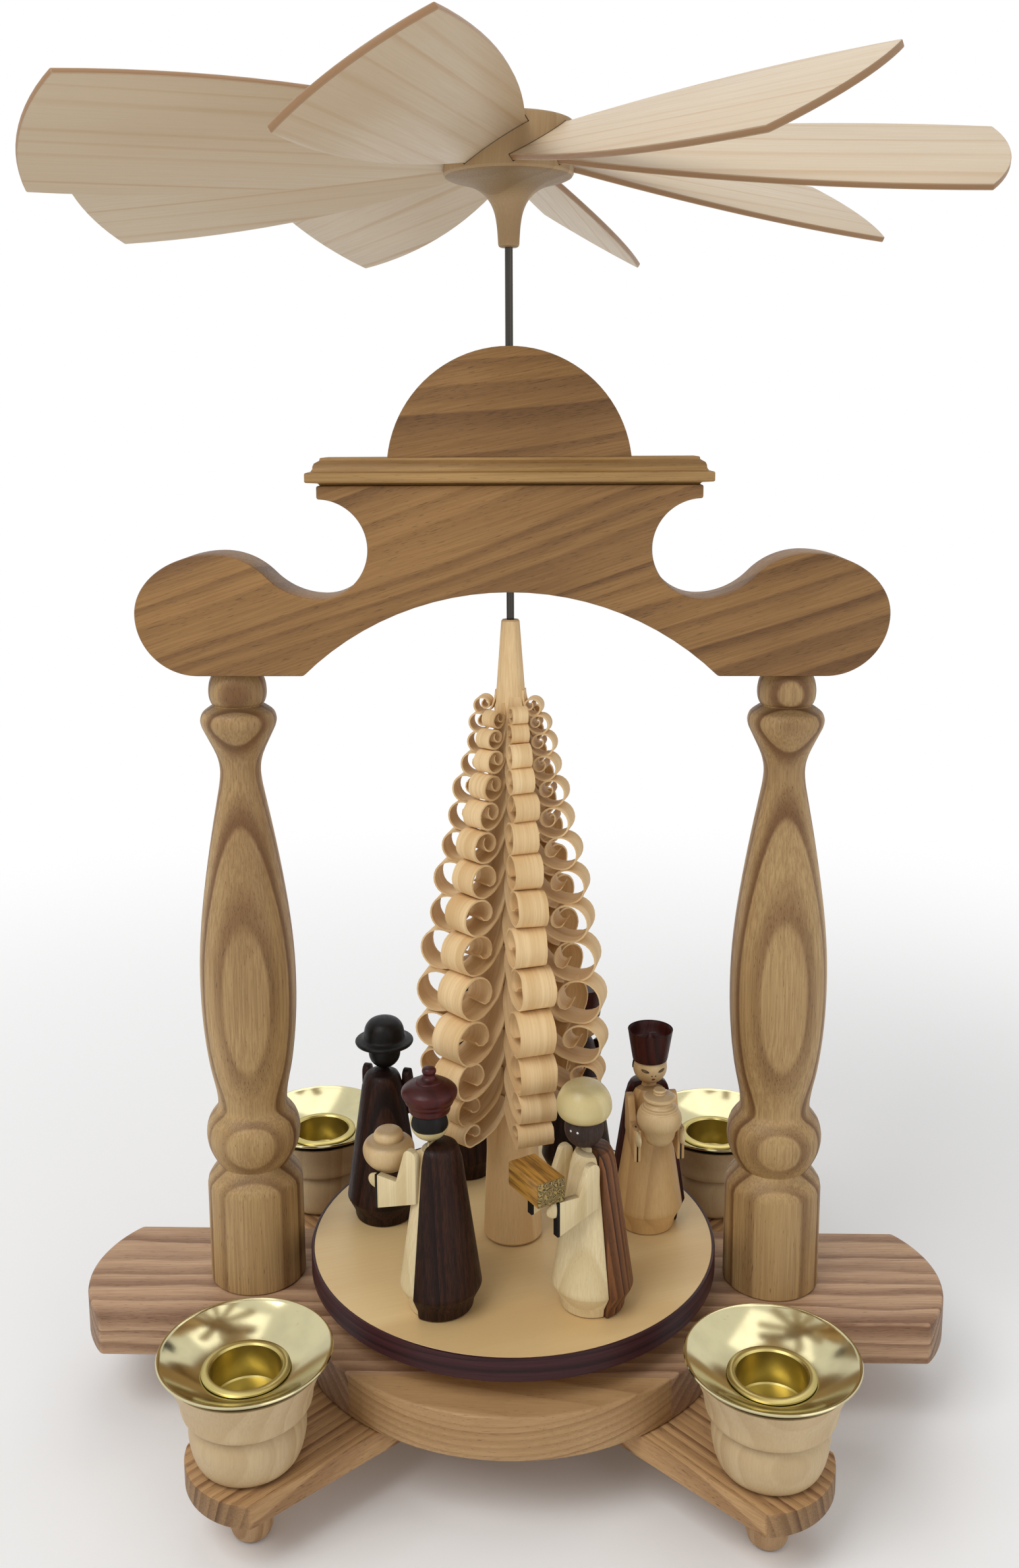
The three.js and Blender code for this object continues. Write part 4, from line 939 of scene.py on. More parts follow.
def blade_outline():
    corner = BLADE_REACH - TIP_ARC
    tip_radius = (TIP_HALF_WIDTH**2 + TIP_ARC**2) / (2 * TIP_ARC)
    tip_turn = math.degrees(math.asin(TIP_HALF_WIDTH / tip_radius))
    half = [(BLADE_ROOT, TONGUE_HALF_WIDTH)]
    for s in np.linspace(0, 1, 15)[:-1]:
        spread = TONGUE_HALF_WIDTH + (TIP_HALF_WIDTH - TONGUE_HALF_WIDTH) * s + 4 * BLADE_BELLY * s * (1 - s)
        half.append((HUB_RADIUS + (corner - HUB_RADIUS) * s, spread))
    tip = arc(BLADE_REACH - tip_radius, 0, tip_radius, -tip_turn, tip_turn)
    return [(x, -y) for x, y in half] + tip + half[::-1]


def fan_tree():
    """Pitches and droops one blade, and sets copies round the hub, each from its own part of the log."""
    tree, given = node_tree("fan blades", FAN_SIZES, ("Blades",))
    index = add(tree, "GeometryNodeInputIndex")
    seats = kept(add(tree, "GeometryNodePoints", {"Count": given["Blades"]}), "blade", index)
    blade = given["Geometry"]
    pitch, droop = given["Pitch"].math("RADIANS"), given["Droop"].math("RADIANS")
    for turn in (joined(tree, x=pitch), joined(tree, y=droop)):
        blade = add(tree, "GeometryNodeTransform", {"Geometry": blade, "Rotation": turn})
    turn = (index * (360.0 / given["Blades"]) + given["First Angle"]).math("RADIANS")
    fan = copies(seats, blade, Rotation=joined(tree, z=turn))
    lift = joined(tree, z=given["Height"] * MM)
    fan = add(tree, "GeometryNodeTransform", {"Geometry": fan, "Translation": lift})
    which = recalled(tree, "blade")
    log = recalled(tree, "grain", "FLOAT_VECTOR") + joined(tree, which, which, which) * LOG_STEP
    return ended(tree, kept(fan, "grain", log, "FLOAT_VECTOR"), ("blade",), blade_maple)


blade_maple = wood("maple of the blades", tint(196, 178, 151), tint(185, 158, 125), ring=5.2, pith=75,
                   bent=1.6, bend_length=90, band=0.25, fibre=0.2, pores=0.12, blotch=0.3, coat=0.1,
                   relief=0.015, late=True)
skin = blade_maple.node_tree.nodes["Principled BSDF"]
face_colour = Wire(skin.inputs["Base Color"].links[0].from_socket)
on_edge = read(blade_maple.node_tree, "sawn_edge")
feed(skin, {"Base Color": colours(on_edge, face_colour, tint(150, 114, 78))})
fan_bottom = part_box("fan_hub")[0].z
points, faces = sawn(blade_outline(), BLADE_THICKNESS)
blades = shown("fan_blades", [(x, y, z - BLADE_THICKNESS / 2) for x, y, z in points], faces)
eased(blades, 0.3)
grained(blades, blade_maple, along=(1, 0.02, 0), bark=(0, 0.6, 1))
edges = [1.0 - min(abs(face.normal.z), 1.0) for face in blades.data.polygons]
written(blades, "sawn_edge", edges, domain="FACE")
grow(blades, fan_tree(), {**FAN_SIZES, "Blades": BLADES})
blades.data.transform(Matrix.Translation((0, 0, fan_bottom)))
fitted(blades, "rotor", "maple", *[f"fan_blade_{i}" for i in range(1, BLADES + 1)])

# Fan hub: a turned lime hub with a trumpet-shaped nose and a slotted drum.
# It is glued on the shaft's upper end.

HUB_PROFILE = [(2.1, 0), (2.6, 0.5), (2.75, 2.4), (3.0, 5.4), (3.6, 8.4), (4.8, 11.0), (6.6, 13.0),
               (9.0, 14.5), (12.0, 15.5), (14.6, 16.2), (15.7, 16.7)]
HUB_DRUM = [(16.1, 17.3), (16.1, 29.0), (15.9, 29.5), (15.2, 29.8), (0, 29.8)]
SLOT_ROOM = 0.15
SLOT_LENGTH = 18.0
# The hub's lime is darker than the tree's: partly its own tone, and partly painted shade for the shade it
# lies in under the blades.
hub_lime_with_painted_shade = wood("lime of the hub with painted shade", tint(174, 146, 106), tint(153, 123, 84), ring=6, pith=35, band=0.7,
                fibre=0.35, pores=0.15, blotch=0.35, rough=0.52, relief=0.02)
profile = [(0, 0), *smooth(HUB_PROFILE, 4), *HUB_DRUM]
hub = shown("fan_hub_turned", *turned(profile, 96), (0, 0, fan_bottom / MM))
slot_height = BLADE_THICKNESS + 2 * SLOT_ROOM
slot_plan = oblong(BLADE_ROOT, BLADE_ROOT + SLOT_LENGTH, TONGUE_HALF_WIDTH + SLOT_ROOM)
points, faces = sawn(slot_plan, slot_height)
slots = []
for i in range(BLADES):
    seat = Matrix.Translation((0, 0, FAN_SIZES["Height"] + fan_bottom / MM))
    for turn, axis in ((FAN_SIZES["First Angle"] + 360 / BLADES * i, "Z"), (FAN_SIZES["Droop"], "Y"),
                       (FAN_SIZES["Pitch"], "X")):
        seat = seat @ Matrix.Rotation(math.radians(turn), 4, axis)
    corners = [tuple(seat @ Vector((x, y, z - slot_height / 2))) for x, y, z in points]
    slots.append(shown("slot", corners, faces))
softened(carved(hub, *slots).data)
grained(hub, hub_lime_with_painted_shade, along=(0.1, 0, 1), shift=(3, 12, 500))
fitted(hub, "rotor", "lime_wood", "fan_hub")

# Figures: three kings and three attendants, turned on the lathe and glued on the turntable.
# A king's body is split down its middle, with a pale robe in front and a darker cloak behind it.

FIGURE_RING = 38.2
CLOAK_THICKNESS = 1.0
CLOAK_SEAM = 1.2
CLOAK_GRAIN_TURN = 8.0
SEAM_GAP = 0.3
SKIRT_RADIUS = 10.0
HEAD_FORWARD = 2.2
HEAD_CUT = 0.55
HEAD_LATITUDE = math.degrees(math.asin(HEAD_CUT))
SLEEVE_INSIDE = 5.0
SLEEVE_THICKNESS = 2.0
SLEEVE_REACH = 14.0
SLEEVE_DEPTH = 9.2
FOREARM_TOP = 35.2
HAND_SIZE = (0.7, 2.7, 2.1)
BOTH_HANDS = ((-1, "left"), (1, "right"))

robe_maple = wood("maple of the robes", tint(230, 212, 170), tint(210, 187, 140), ring=5, pith=30, band=0.5,
                  fibre=0.65, pores=0.25, blotch=0.3, rough=0.55, relief=0.02)
robe_lime = wood("lime of the third robe", tint(216, 179, 123), tint(186, 145, 94), pith=30, band=0.6,
                 fibre=0.35, pores=0.12, blotch=0.5, relief=0.02)
dark_walnut = wood("dark walnut", tint(61, 34, 24), tint(23, 12, 8), ring=2.4, pith=30, bent=1.5, band=0.7,
                   fibre=0.75, pores=0.5, blotch=0.55, rough=0.44, relief=0.06, shine=0.16)
striped_walnut = wood("striped walnut", tint(132, 85, 51), tint(38, 18, 11), ring=1.9, bent=0.35, band=0.8,
                      fibre=0.25, pores=0.4, rough=0.45, relief=0.06, late=True, shine=0.2)
padouk = wood("dark padouk", tint(70, 28, 23), tint(36, 12, 11), ring=2, pith=30, band=0.6, pores=0.4,
              rough=0.38, relief=0.04, shine=0.2)
maroon = wood("maroon stained maple", tint(74, 23, 21), tint(56, 14, 14), ring=5, pith=20, band=0.6,
              fibre=0.3, pores=0.1, blotch=0.5, rough=0.34, relief=0.015, shine=0.25)
black_wood = wood("black stained wood", tint(24, 20, 19), tint(12, 11, 10), ring=3, pith=20, band=0.5,
                  fibre=0.4, pores=0.1, rough=0.42, relief=0.02, shine=0.18)
brown_wood = wood("dark brown stained wood", tint(66, 49, 41), tint(38, 27, 22), ring=2, pith=20, band=0.5,
                  fibre=0.6, rough=0.55, relief=0.04, shine=0.25)
ivory_wood = wood("ivory coloured maple", tint(214, 197, 146), tint(196, 176, 120), ring=9, pith=45, bent=5,
                  band=0.4, fibre=0.35, pores=0.1, blotch=0.8, rough=0.4, coat=0.25, relief=0.015)
gift_lime = wood("lime of the gifts", tint(210, 182, 136), tint(194, 162, 114), ring=8, pith=30, bent=2,
                 band=0.5, fibre=0.4, pores=0.2, blotch=0.4, rough=0.45, coat=0.15, relief=0.02)
pale_face = wood("pale wood of a hidden head", tint(202, 164, 120), tint(172, 132, 90), ring=5, pith=30,
                 fibre=0.4)


def split_turned(profile, seam, front, sides=56):
    """The front or the back part of a turned piece that is split along the plane Y = seam."""
    points = []
    for radius, height in profile:
        start = math.asin(seam / radius)
        start, end = (start, math.pi - start) if front else (math.pi - start, 2 * math.pi + start)
        turns = np.linspace(start, end, sides)
        points += [(radius * math.cos(t), radius * math.sin(t), height) for t in turns]
    return points, closed(len(profile), sides)


def body_profile(height, extra):
    """A turned body from its rounded foot up over the skirt's edge to the neck, without its middle points."""
    outline = [(7.1, 0), (7.6, 0.25), (7.8, 0.8), (8.0, 2.5), (9.8, 6.0), (SKIRT_RADIUS, 6.5), (9.85, 7.6),
               (5.3, height - 4.2), (4.95, height - 3), (4.6, height - 1.7), (4.0, height - 0.6),
               (3.0, height)]
    return [(radius + extra, z if z < height / 2 else z + extra) for radius, z in outline]


def on_figure(name, mesh, angle):
    """A mesh from a figure's own frame, with X across, Y forward and Z up, at its place on the turntable."""
    turn = math.radians(angle)
    level = table_bottom + TABLE_THICKNESS + GLUE_FILM
    place = (FIGURE_RING * math.cos(turn), FIGURE_RING * math.sin(turn), level)
    return shown(name, *mesh, place, angle + 180)


def facing(angle):
    """The way a figure at an angle looks, along the floor."""
    turn = math.radians(angle)
    return math.sin(turn), -math.cos(turn), 0.0


def carved_piece(name, mesh, angle, material, slot_name, *nodes, ease=0.0, shift=(0, 0, 0), grain_turn=0.0):
    """A wooden piece of a figure, with its fibres upright."""
    made = on_figure(name, mesh, angle)
    if ease:
        eased(made, ease)
    grained(made, material, (0, 0, 1), facing(angle + grain_turn), shift)
    fitted(made, "rotor", slot_name, *nodes)


def moved(mesh, forward, up):
    """A mesh moved forward and up."""
    points, faces = mesh
    return [(x, y + forward, z + up) for x, y, z in points], faces


def standing(outline, thickness, x):
    """A board whose outline stands up in Y and Z, from X up to X plus its thickness."""
    points, faces = sawn(outline, thickness)
    return [(x + w, forward, up) for forward, up, w in points], faces


def ball(radius, centre, scale=(1, 1, 1), sides=32, high=90.0, step=7.5):
    """Points and faces of a turned ball, cut flat at a latitude."""
    turns = [math.radians(t) for t in np.linspace(-90, high, max(2, round((high + 90) / step)) + 1)]
    profile = [(radius * math.cos(t) if abs(math.cos(t)) > 1e-6 else 0.0, radius * math.sin(t))
               for t in turns]
    if profile[-1][0] > 0:
        profile.append((0.0, profile[-1][1]))
    points, faces = turned(profile, sides)
    return [tuple(c + s * v for c, s, v in zip(centre, scale, p)) for p in points], faces


def sleeves_and_hands(name, angle, sleeve_wood, hand_wood, slot_name, seed, shoulder_top, reach=SLEEVE_REACH):
    """Two flat sleeve boards that reach forward, and a small rounded hand at each end if given a wood."""
    outline = arc(4.0, shoulder_top - 1.9, 1.9, 20, 180, step=16)
    outline += [(2.1, FOREARM_TOP - 4.9), (reach, FOREARM_TOP - SLEEVE_DEPTH), (reach, FOREARM_TOP),
                (min(8.2, reach - 0.5), FOREARM_TOP - 0.3)]
    for sign, side in BOTH_HANDS:
        x = SLEEVE_INSIDE if sign > 0 else -SLEEVE_INSIDE - SLEEVE_THICKNESS
        carved_piece(f"{name}_sleeve_{side}", standing(outline, SLEEVE_THICKNESS, x), angle, sleeve_wood,
                     slot_name, ease=0.25, shift=(seed + 4 * sign, 3, 20 * seed))
        if hand_wood:
            centre = (sign * (SLEEVE_INSIDE + SLEEVE_THICKNESS / 2), reach + 0.6, FOREARM_TOP - 2.2)
            hand = ball(1.0, centre, HAND_SIZE, 16, step=18)
            carved_piece(f"{name}_hand_{side}", hand, angle, hand_wood, slot_name, shift=(seed, sign, 7))


def head_and_hat(name, figure, centre, head_shift=(0, 0, 0), hat_shift=(0, 0, 0), hat_gap=0.0, hat_nodes=()):
    """A round head, cut flat on top, and the hat glued on it."""
    angle, radius = figure["angle"], figure["head"]
    head = ball(radius, centre, sides=48, high=HEAD_LATITUDE, step=6)
    carved_piece(f"{name}_head_ball", head, angle, figure["head_wood"], figure["head_slot"], f"{name}_head",
                 shift=head_shift)
    hat = turned([(0, 0), *smooth(figure["hat"], 3)], 64)
    hat = moved(hat, HEAD_FORWARD, centre[2] + HEAD_CUT * radius + hat_gap)
    carved_piece(f"{name}_hat_turned", hat, angle, figure["hat_wood"], figure["hat_slot"], *hat_nodes,
                 shift=hat_shift)


def cuffs(name, angle, proud, thickness, inset):
    """Dark linings at the sleeves' ends: a plate on the end, or a thin layer let into it."""
    width = SLEEVE_THICKNESS - 2 * inset
    end, top, low = SLEEVE_REACH + proud, FOREARM_TOP - 0.1, FOREARM_TOP - SLEEVE_DEPTH + 0.1
    outline = [(end - thickness, low), (end, low - 0.05), (end, top), (end - thickness, top)]
    for sign, side in BOTH_HANDS:
        x = sign * (SLEEVE_INSIDE + SLEEVE_THICKNESS / 2) - width / 2
        carved_piece(f"{name}_cuff_{side}", standing(outline, width, x), angle, black_wood, "black_wood")


def on_ball(centre, radius, yaw, rise):
    """A point on a ball, from its degrees across and up."""
    yaw, rise = math.radians(yaw), math.radians(rise)
    return (centre[0] + radius * math.sin(yaw) * math.cos(rise),
            centre[1] + radius * math.cos(yaw) * math.cos(rise), centre[2] + radius * math.sin(rise))


def painted(spots, centre, radius):
    """Spots of paint on a ball: each outline in degrees across and up is a thin closed lens on its skin."""
    points, faces = [], []
    for outline in spots:
        yaw, rise = (sum(values) / len(outline) for values in zip(*outline))
        first, count = len(points), len(outline)
        for share, depth in ((1.0, -0.03), (0.55, 0.035), (0.0, 0.045), (0.0, -0.12)):
            points += [on_ball(centre, radius + depth, yaw + (y - yaw) * share, rise + (r - rise) * share)
                       for y, r in (outline if share else outline[:1])]
        top, under = first + 2 * count, first + 2 * count + 1
        for i in range(count):
            a, b = first + i, first + (i + 1) % count
            faces += [(b, a, a + count, b + count), (b + count, a + count, top), (a, b, under)]
    return points, faces


def almond(yaw, rise, length, height, slant, sign):
    """The outline of a painted eye that rises outwards."""
    outline = []
    for t in np.linspace(0, 2 * math.pi, 14, endpoint=False):
        x, y = length / 2 * math.cos(t), height / 2 * math.sin(t) * abs(math.sin(t)) ** 0.4
        outline.append((sign * (yaw + x), rise + y + slant * x))
    return outline[::sign]


def paint(name, colour):
    material, tree, skin = bare_material(name)
    brushed = noise(add(tree, "ShaderNodeTexCoord")["Object"], 4000.0, 2.0)
    feed(skin, {"Base Color": colours(brushed, colour, toned(colour, 0.8)), "Roughness": 0.45})
    return material


def hair_cap(centre, radius, back, half_width, low, high, across=24, up=14):
    """A thin dark shell on the back of a head, with rounded lower corners."""
    points, faces = [], []
    for depth in (0.22, -0.2):
        for j in range(up + 1):
            share = j / up
            narrow = math.sqrt(max(0.0, 1 - (1 - min(share / 0.5, 1.0)) ** 2.4)) * 0.9 + 0.1
            for i in range(across + 1):
                yaw = back - half_width * narrow + 2 * half_width * narrow * i / across
                reach = radius + (depth if 0 < i < across and 0 < j else -0.2)
                points.append(on_ball(centre, reach, yaw, low + (high - low) * share))
    row, inner = across + 1, len(points) // 2
    for j in range(up):
        for a in range(j * row, j * row + across):
            faces += [(a, a + row, a + row + 1, a + 1)]
            faces += [(inner + a + 1, inner + a + row + 1, inner + a + row, inner + a)]
    rim = [*range(row), *range(row + across, up * row, row), *range(inner - 1, up * row - 1, -1),
           *range((up - 1) * row, 0, -row)]
    faces += [(a, b, inner + b, inner + a) for a, b in zip(rim, rim[1:] + rim[:1])]
    return points, faces


TURBAN = [(5.1, 0), (5.3, 0.5), (5.4, 1.5), (5.7, 1.9), (6.1, 2.5), (6.15, 3.0), (6.4, 3.3), (6.9, 4.1),
          (7.1, 5.0), (6.9, 5.8), (6.1, 6.6), (4.8, 7.4), (3.5, 7.9), (3.3, 8.3), (2.7, 8.5), (2.1, 8.8),
          (1.7, 9.2), (1.55, 9.8), (1.8, 10.4), (1.7, 11.1), (1.1, 11.6), (0, 11.8)]
MUSHROOM = [(4.9, 0), (5.4, 0.1), (6.3, 0.9), (6.9, 2.2), (7.0, 3.3), (6.8, 4.8), (6.1, 6.5), (4.9, 8.1),
            (3.2, 9.2), (1.6, 9.7), (0, 9.8)]
FEZ = [(4.7, 0), (4.9, 0.25), (6.1, 7.6), (6.15, 7.9), (6.0, 8.0), (5.75, 7.9), (5.0, 5.6), (4.3, 4.8),
       (2.6, 4.5), (1.9, 4.7), (0.9, 6.3), (0.35, 7.0), (0, 7.1)]
kings = {
    "turban_king": dict(angle=-118.5, height=43.6, head=5.0, looks=57, shoulder=44.3, robe=robe_maple,
                        cloak=dark_walnut, cloak_slot="walnut", head_wood=ivory_wood, head_slot="ivory_wood",
                        hat=TURBAN, hat_wood=maroon, hat_slot="padouk"),
    "cap_king": dict(angle=-57.3, height=42.6, head=5.0, looks=-25, shoulder=42.3, robe=robe_maple,
                     cloak=striped_walnut, cloak_slot="walnut", head_wood=brown_wood, head_slot="black_wood",
                     hat=MUSHROOM, hat_wood=ivory_wood, hat_slot="ivory_wood"),
    "fez_king": dict(angle=9.3, height=42.0, head=4.7, looks=0, shoulder=41.4, robe=robe_lime,
                     cloak=padouk, cloak_slot="padouk", head_wood=gift_lime, head_slot="lime_wood",
                     hat=FEZ, hat_wood=padouk, hat_slot="padouk"),
}
for seed, (name, king) in enumerate(kings.items(), 1):
    angle, height = king["angle"], king["height"]
    neck = [(2.5, height + 0.1), (2.3, height + 1.2)]
    robe = split_turned(body_profile(height, 0) + neck, CLOAK_SEAM, True)
    cloak = split_turned(body_profile(height, CLOAK_THICKNESS), CLOAK_SEAM - SEAM_GAP, False)
    carved_piece(f"{name}_robe_half", robe, angle, king["robe"], "maple", f"{name}_robe", ease=0.15,
                 shift=(7 * seed, 0, 60 * seed))
    carved_piece(f"{name}_cloak_half", cloak, angle, king["cloak"], king["cloak_slot"], f"{name}_cloak",
                 ease=0.25, shift=(5 * seed, 9, 90 * seed), grain_turn=CLOAK_GRAIN_TURN)
    sleeves_and_hands(name, angle, king["robe"], robe_maple, "maple", seed, king["shoulder"])
    king["centre"] = (0, HEAD_FORWARD, height + CLOAK_THICKNESS + SEAM_GAP + king["head"])
    head_and_hat(name, king, king["centre"], (3 * seed, 0, 5), (0, 2 * seed, 3), GLUE_FILM, (f"{name}_hat",))

for name, proud, thickness, inset in (("turban_king", 0.65, 0.65, 0.05), ("cap_king", 0.65, 0.65, 0.05),
                                      ("fez_king", 0.06, 3.0, 0.8)):
    cuffs(name, kings[name]["angle"], proud, thickness, inset)

for name, half_width, low in (("turban_king", 70, -18), ("fez_king", 92, -20)):
    king = kings[name]
    hair = hair_cap(king["centre"], king["head"], 180 + king["looks"], half_width, low, HEAD_LATITUDE + 1)
    carved_piece(f"{name}_hair", hair, king["angle"], black_wood, "black_wood")

BOTH = (-1, 1)
faces_painted = (
    ("turban_king", "eyes", BOTH, (20, 4, 10, 5, 0.1), "black paint", tint(24, 20, 18)),
    ("turban_king", "mouth", (1,), (0, -32, 13, 5, 0), "red paint", tint(150, 46, 40)),
    ("cap_king", "eyes", BOTH, (11.5, 8, 8, 8, 0), "white paint", tint(238, 236, 230)),
    ("fez_king", "brows", BOTH, (30, 4, 42, 14, 0.2), "dark brown paint", tint(58, 42, 24)),
    ("fez_king", "irises", BOTH, (32, 4.2, 26, 8, 0.2), "olive paint", tint(112, 88, 44)),
    ("fez_king", "nose", BOTH, (6.5, -12, 7, 6, 0), "umber paint", tint(60, 36, 26)),
    ("fez_king", "mouth", (1,), (0, -27, 19, 12, 0), "deep red paint", tint(132, 50, 44)),
)
for owner, feature, signs, shape, paint_name, colour in faces_painted:
    king = kings[owner]
    spots = [[(yaw + king["looks"], rise) for yaw, rise in almond(*shape, sign)] for sign in signs]
    lift = 0.02 if feature == "irises" else 0.0
    spot = on_figure(f"{owner}_{feature}", painted(spots, king["centre"], king["head"] + lift), king["angle"])
    spot.data.materials.append(paint(paint_name, colour))
    fitted(spot, "rotor", "black_wood")

# Gifts: a round lidded box, a casket and a jar, each resting on its king's forearms.
# The casket is burr wood, and its ends are carved with winding furrows.

GIFT_BOTTOM = FOREARM_TOP + GLUE_FILM
ROUND_BOX = [(0, -1.3), *smooth([(3.5, -1.3), (4.2, -0.7), (5.4, 0.4), (6.3, 1.8), (6.65, 3.3), (6.5, 4.8),
                                 (5.7, 6.0), (4.4, 6.55), (3.75, 6.7), (3.85, 7.0), (3.8, 7.8), (3.2, 8.8),
                                 (2.0, 9.4), (0, 9.6)], 3)]
JAR = [(0, -4), (3.0, -4), (3.3, -3.8), (4.2, -2.2), (4.55, -0.4), (5.5, 0.8), (6.0, 1.9), (6.15, 3.0),
       (5.9, 4.3), (5.35, 5.4), (5.18, 5.62), (5.22, 5.72), (4.85, 6.12), (4.68, 6.2), (4.72, 6.3),
       (4.3, 6.65), (4.1, 6.72), (4.12, 6.82), (3.7, 7.2), (3.45, 7.6), (3.5, 7.9), (4.0, 8.3), (4.4, 8.75),
       (4.35, 9.2), (3.9, 9.6), (2.6, 9.9), (1.7, 10.0), (1.5, 10.3), (1.75, 10.8), (1.5, 11.3), (0, 11.4)]
CASKET_LENGTH = 14.0
CASKET_DEPTH = 8.0
CASKET_HEIGHT = 6.4


def burr(name):
    """Golden burr wood with dark streaks along it, and winding furrows on its carved ends."""
    material, tree, skin = bare_material(name)
    place = read(tree, "grain", "Vector") * (1 / MM, 1 / MM, 1 / MM)
    streaks = noise(place * (1.1, 1.1, 0.09), 1.0, 4.0, 0.65)
    end = read(tree, "carved")
    crooked = place + noise(place, 0.5, 1.0)["Color"] * (5, 5, 5)
    furrow = (noise(crooked, 0.4, 0.0) * 8.0).math("FRACT") - 0.5
    furrow = between(furrow.math("ABSOLUTE"), 0.02, 0.3)
    colour = colours(between(streaks, 0.35, 0.68), tint(176, 128, 52), tint(104, 66, 18))
    cut = colours(furrow, tint(66, 50, 20), tint(164, 138, 78))
    feed(skin, {"Base Color": colours(end, colour, cut), "Normal": bump(furrow * end, 0.35, 1.0),
                "Roughness": 0.42})
    return material


turned_gifts = (("turban_king", ROUND_BOX, SLEEVE_REACH + 1), ("fez_king", JAR, SLEEVE_REACH - 0.6))
for name, profile, forward in turned_gifts:
    gift = moved(turned(profile, 64), forward, GIFT_BOTTOM)
    carved_piece(f"{name}_gift_turned", gift, kings[name]["angle"], gift_lime, "lime_wood", f"{name}_gift",
                 shift=(9, 3, 4))
block = sawn(oblong(-CASKET_LENGTH / 2, CASKET_LENGTH / 2, CASKET_DEPTH / 2), CASKET_HEIGHT)
angle = kings["cap_king"]["angle"]
casket = on_figure("cap_king_gift_casket", moved(block, SLEEVE_REACH + 2.4, GIFT_BOTTOM), angle)
eased(casket, 0.45, 3)
along = facing(angle + 90)
grained(casket, burr("golden burr"), along, bark=(0, 0, 1))
ends = np.abs(np.array([v.normal for v in casket.data.vertices]) @ np.array(along))
written(casket, "carved", np.clip((ends - 0.3) / 0.4, 0, 1))
fitted(casket, "rotor", "golden_burr", "cap_king_gift")

# Attendants: each is turned from one dark wood, and its head and hat are glued on.
# The two behind the tree are mostly hidden in the photograph and follow the one at the left.

ATTENDANT_HEIGHT = 43.0
BOWLER = [(4.4, 0), (7.6, 0.25), (8.1, 0.6), (8.2, 1.0), (7.9, 1.35), (6.7, 1.6), (5.95, 1.95), (5.75, 2.5),
          (5.65, 3.8), (5.2, 5.4), (4.1, 6.8), (2.4, 7.6), (1.0, 7.88), (0, 7.9)]
PLAIN_FEZ = [(4.9, 0), (5.95, 8.2), (5.8, 8.45), (5.5, 8.5), (0, 8.5)]
black_slots = dict(head_slot="black_wood", hat_slot="black_wood")
attendants = {
    "bowler_attendant": dict(angle=165.8, head=4.5, hat=BOWLER, hat_wood=black_wood, sleeves=dark_walnut,
                             head_wood=black_wood, hands=black_wood, shoulder=43.2, reach=SLEEVE_REACH),
    "rear_right_attendant": dict(angle=61.0, head=4.7, hat=PLAIN_FEZ, hat_wood=padouk, sleeves=dark_walnut,
                                 head_wood=pale_face, hands=None, shoulder=41.5, reach=4.5),
    "rear_left_attendant": dict(angle=113.0, head=4.7, hat=BOWLER, hat_wood=black_wood, sleeves=robe_maple,
                                head_wood=black_wood, hands=black_wood, shoulder=43.2, reach=SLEEVE_REACH),
}
for seed, (name, figure) in enumerate(attendants.items(), 5):
    angle, height = figure["angle"], ATTENDANT_HEIGHT
    neck = [(2.4, height + 0.6), (2.2, height + 0.75), (0, height + 0.75)]
    body = turned([(0, 0), *body_profile(height, CLOAK_THICKNESS / 2), *neck], 56)
    carved_piece(f"{name}_body_turned", body, angle, dark_walnut, "walnut", f"{name}_body",
                 shift=(4 * seed, 6, 70 * seed))
    sleeves_and_hands(name, angle, figure["sleeves"], figure["hands"], "walnut", seed, figure["shoulder"],
                      figure["reach"])
    centre = (0, HEAD_FORWARD, height + CLOAK_THICKNESS / 2 + SEAM_GAP + figure["head"])
    head_and_hat(name, {**figure, **black_slots}, centre)

# Studio: a plain pale floor that fades into a white background, and broad soft lamps.
# The camera stands where the photograph was taken from.

FLOOR_EDGES = (200, 700, 6000)
FLOOR_DEPTH = 2.0
AMBIENT = 0.45
AIM = (0.0, 0.0, 0.17)
LAMPS = {
    "key_lamp": ((-0.6, -0.7, 1.25), 0.8, 0.48),
    "fill_lamp": ((1.0, -0.9, 0.7), 1.0, 0.11),
    "top_lamp": ((0.1, 0.3, 1.3), 1.0, 0.24),
}
CAMERA_PLACE = (8.742, -368.10, 266.99)
CAMERA_TURNS = ((1.544, "Z"), (90 - 9.848, "X"), (-0.278, "Z"))
WHITE = (1, 1, 1, 1)

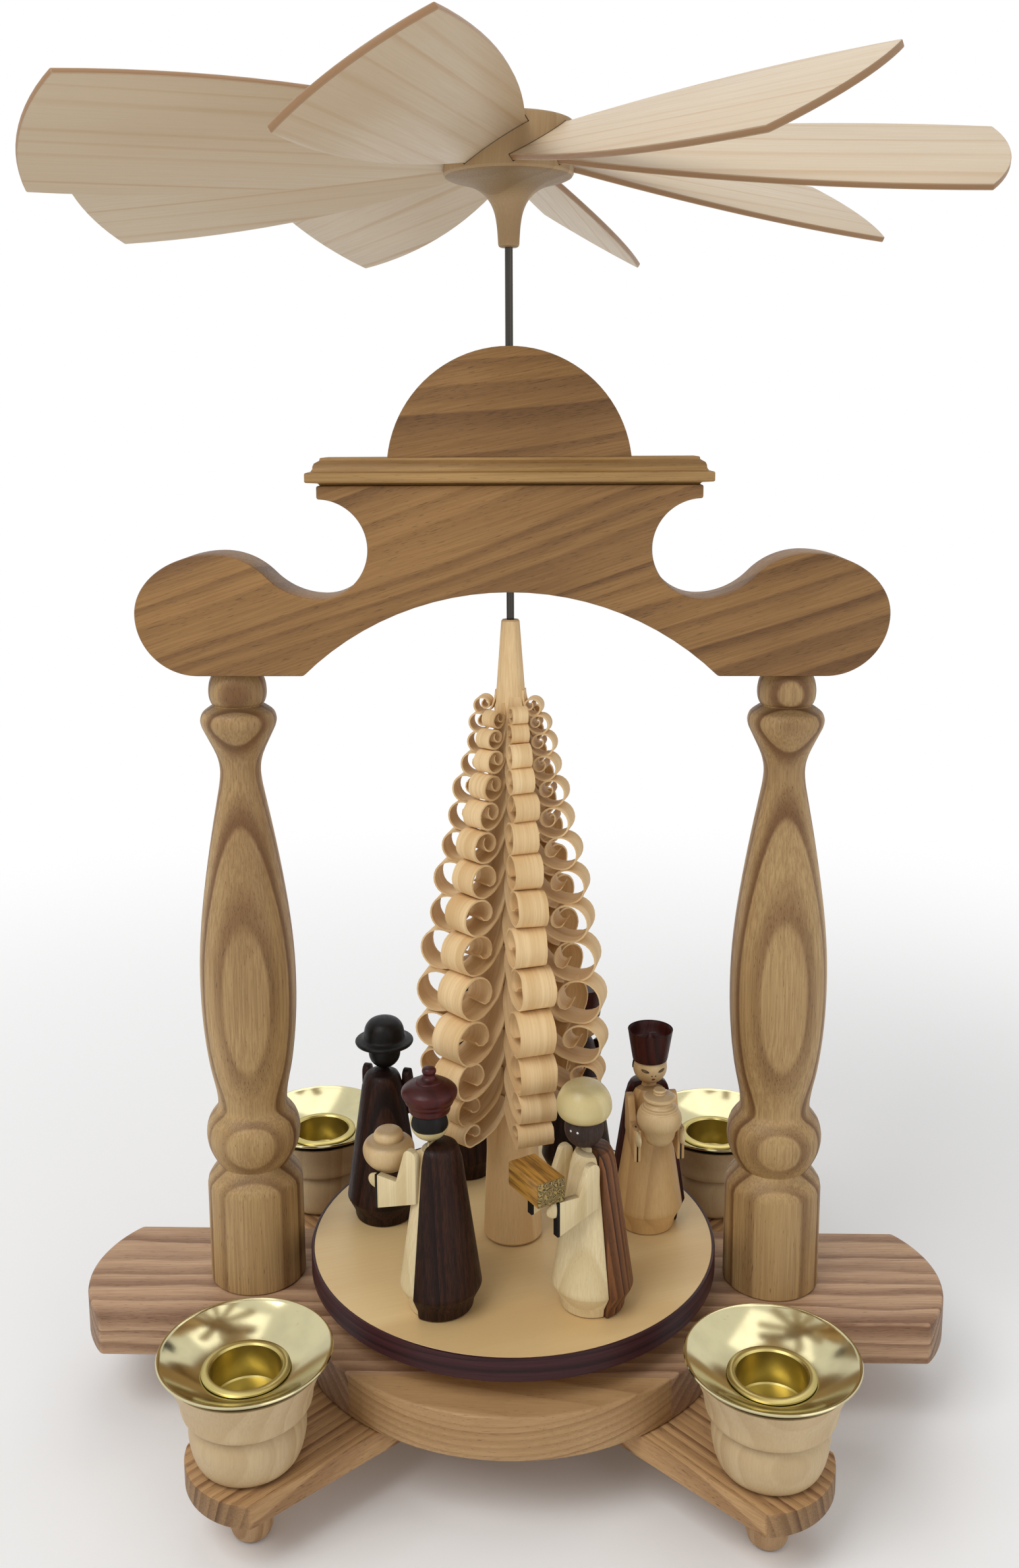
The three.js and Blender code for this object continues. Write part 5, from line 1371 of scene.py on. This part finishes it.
plain_floor, tree, skin = bare_material("studio floor")
distance = add(tree, "ShaderNodeTexCoord")["Object"].math("LENGTH")["Value"]
feed(skin, {"Base Color": (0.95, 0.95, 0.95, 1), "Roughness": 0.9, "Specular IOR Level": 0.0})
white = add(tree, "ShaderNodeEmission", {"Color": WHITE, "Strength": 1.0})
faded = {0: between(distance, 0.17, 0.6), 1: Wire(skin.outputs[0]), 2: white}
feed(tree.nodes["Material Output"], {"Surface": add(tree, "ShaderNodeMixShader", faded)})
profile = [(0, -FLOOR_DEPTH), *((radius, -FLOOR_DEPTH) for radius in FLOOR_EDGES),
           *((radius, 0) for radius in reversed(FLOOR_EDGES)), (0, 0)]
floor = shown("studio_floor", *turned(profile, 96))
floor.data.materials.append(plain_floor)

world = bpy.data.worlds.new("studio")
world.use_nodes = True
bpy.context.scene.world = world
path = add(world.node_tree, "ShaderNodeLightPath")
mirrored = path["Is Glossy Ray"].math("MAXIMUM", path["Is Transmission Ray"])
seen = path["Is Camera Ray"].math("MAXIMUM", mirrored)
feed(world.node_tree.nodes["Background"], {"Color": WHITE, "Strength": seen * (1.0 - AMBIENT) + AMBIENT})

for name, (place, size, level) in LAMPS.items():
    spot = bpy.data.lights.new(name, "AREA")
    spot.shape = "SQUARE"
    spot.size = size
    way = Vector(AIM) - Vector(place)
    # at this energy a white surface at the aim that faces the lamp has the given level
    spot.energy = level * math.pi**2 * way.length_squared
    lamp = placed(name, spot)
    lamp.location = place
    lamp.rotation_euler = way.to_track_quat("-Z", "Y").to_euler()

eye = bpy.data.cameras.new("photo_camera")
eye.sensor_fit = "VERTICAL"
eye.sensor_height = 36.0
eye.sensor_width = 36.0
eye.lens = 32.75
eye.shift_x = 0.00215
eye.shift_y = -0.0672
eye.clip_start = 0.02
photographer = placed("photo_camera", eye)
stand = Matrix.Translation(Vector(CAMERA_PLACE) * MM)
for turn, axis in CAMERA_TURNS:
    stand = stand @ Matrix.Rotation(math.radians(turn), 4, axis)
photographer.matrix_world = stand
bpy.context.scene.camera = photographer
bpy.context.scene.view_settings.view_transform = "Standard"
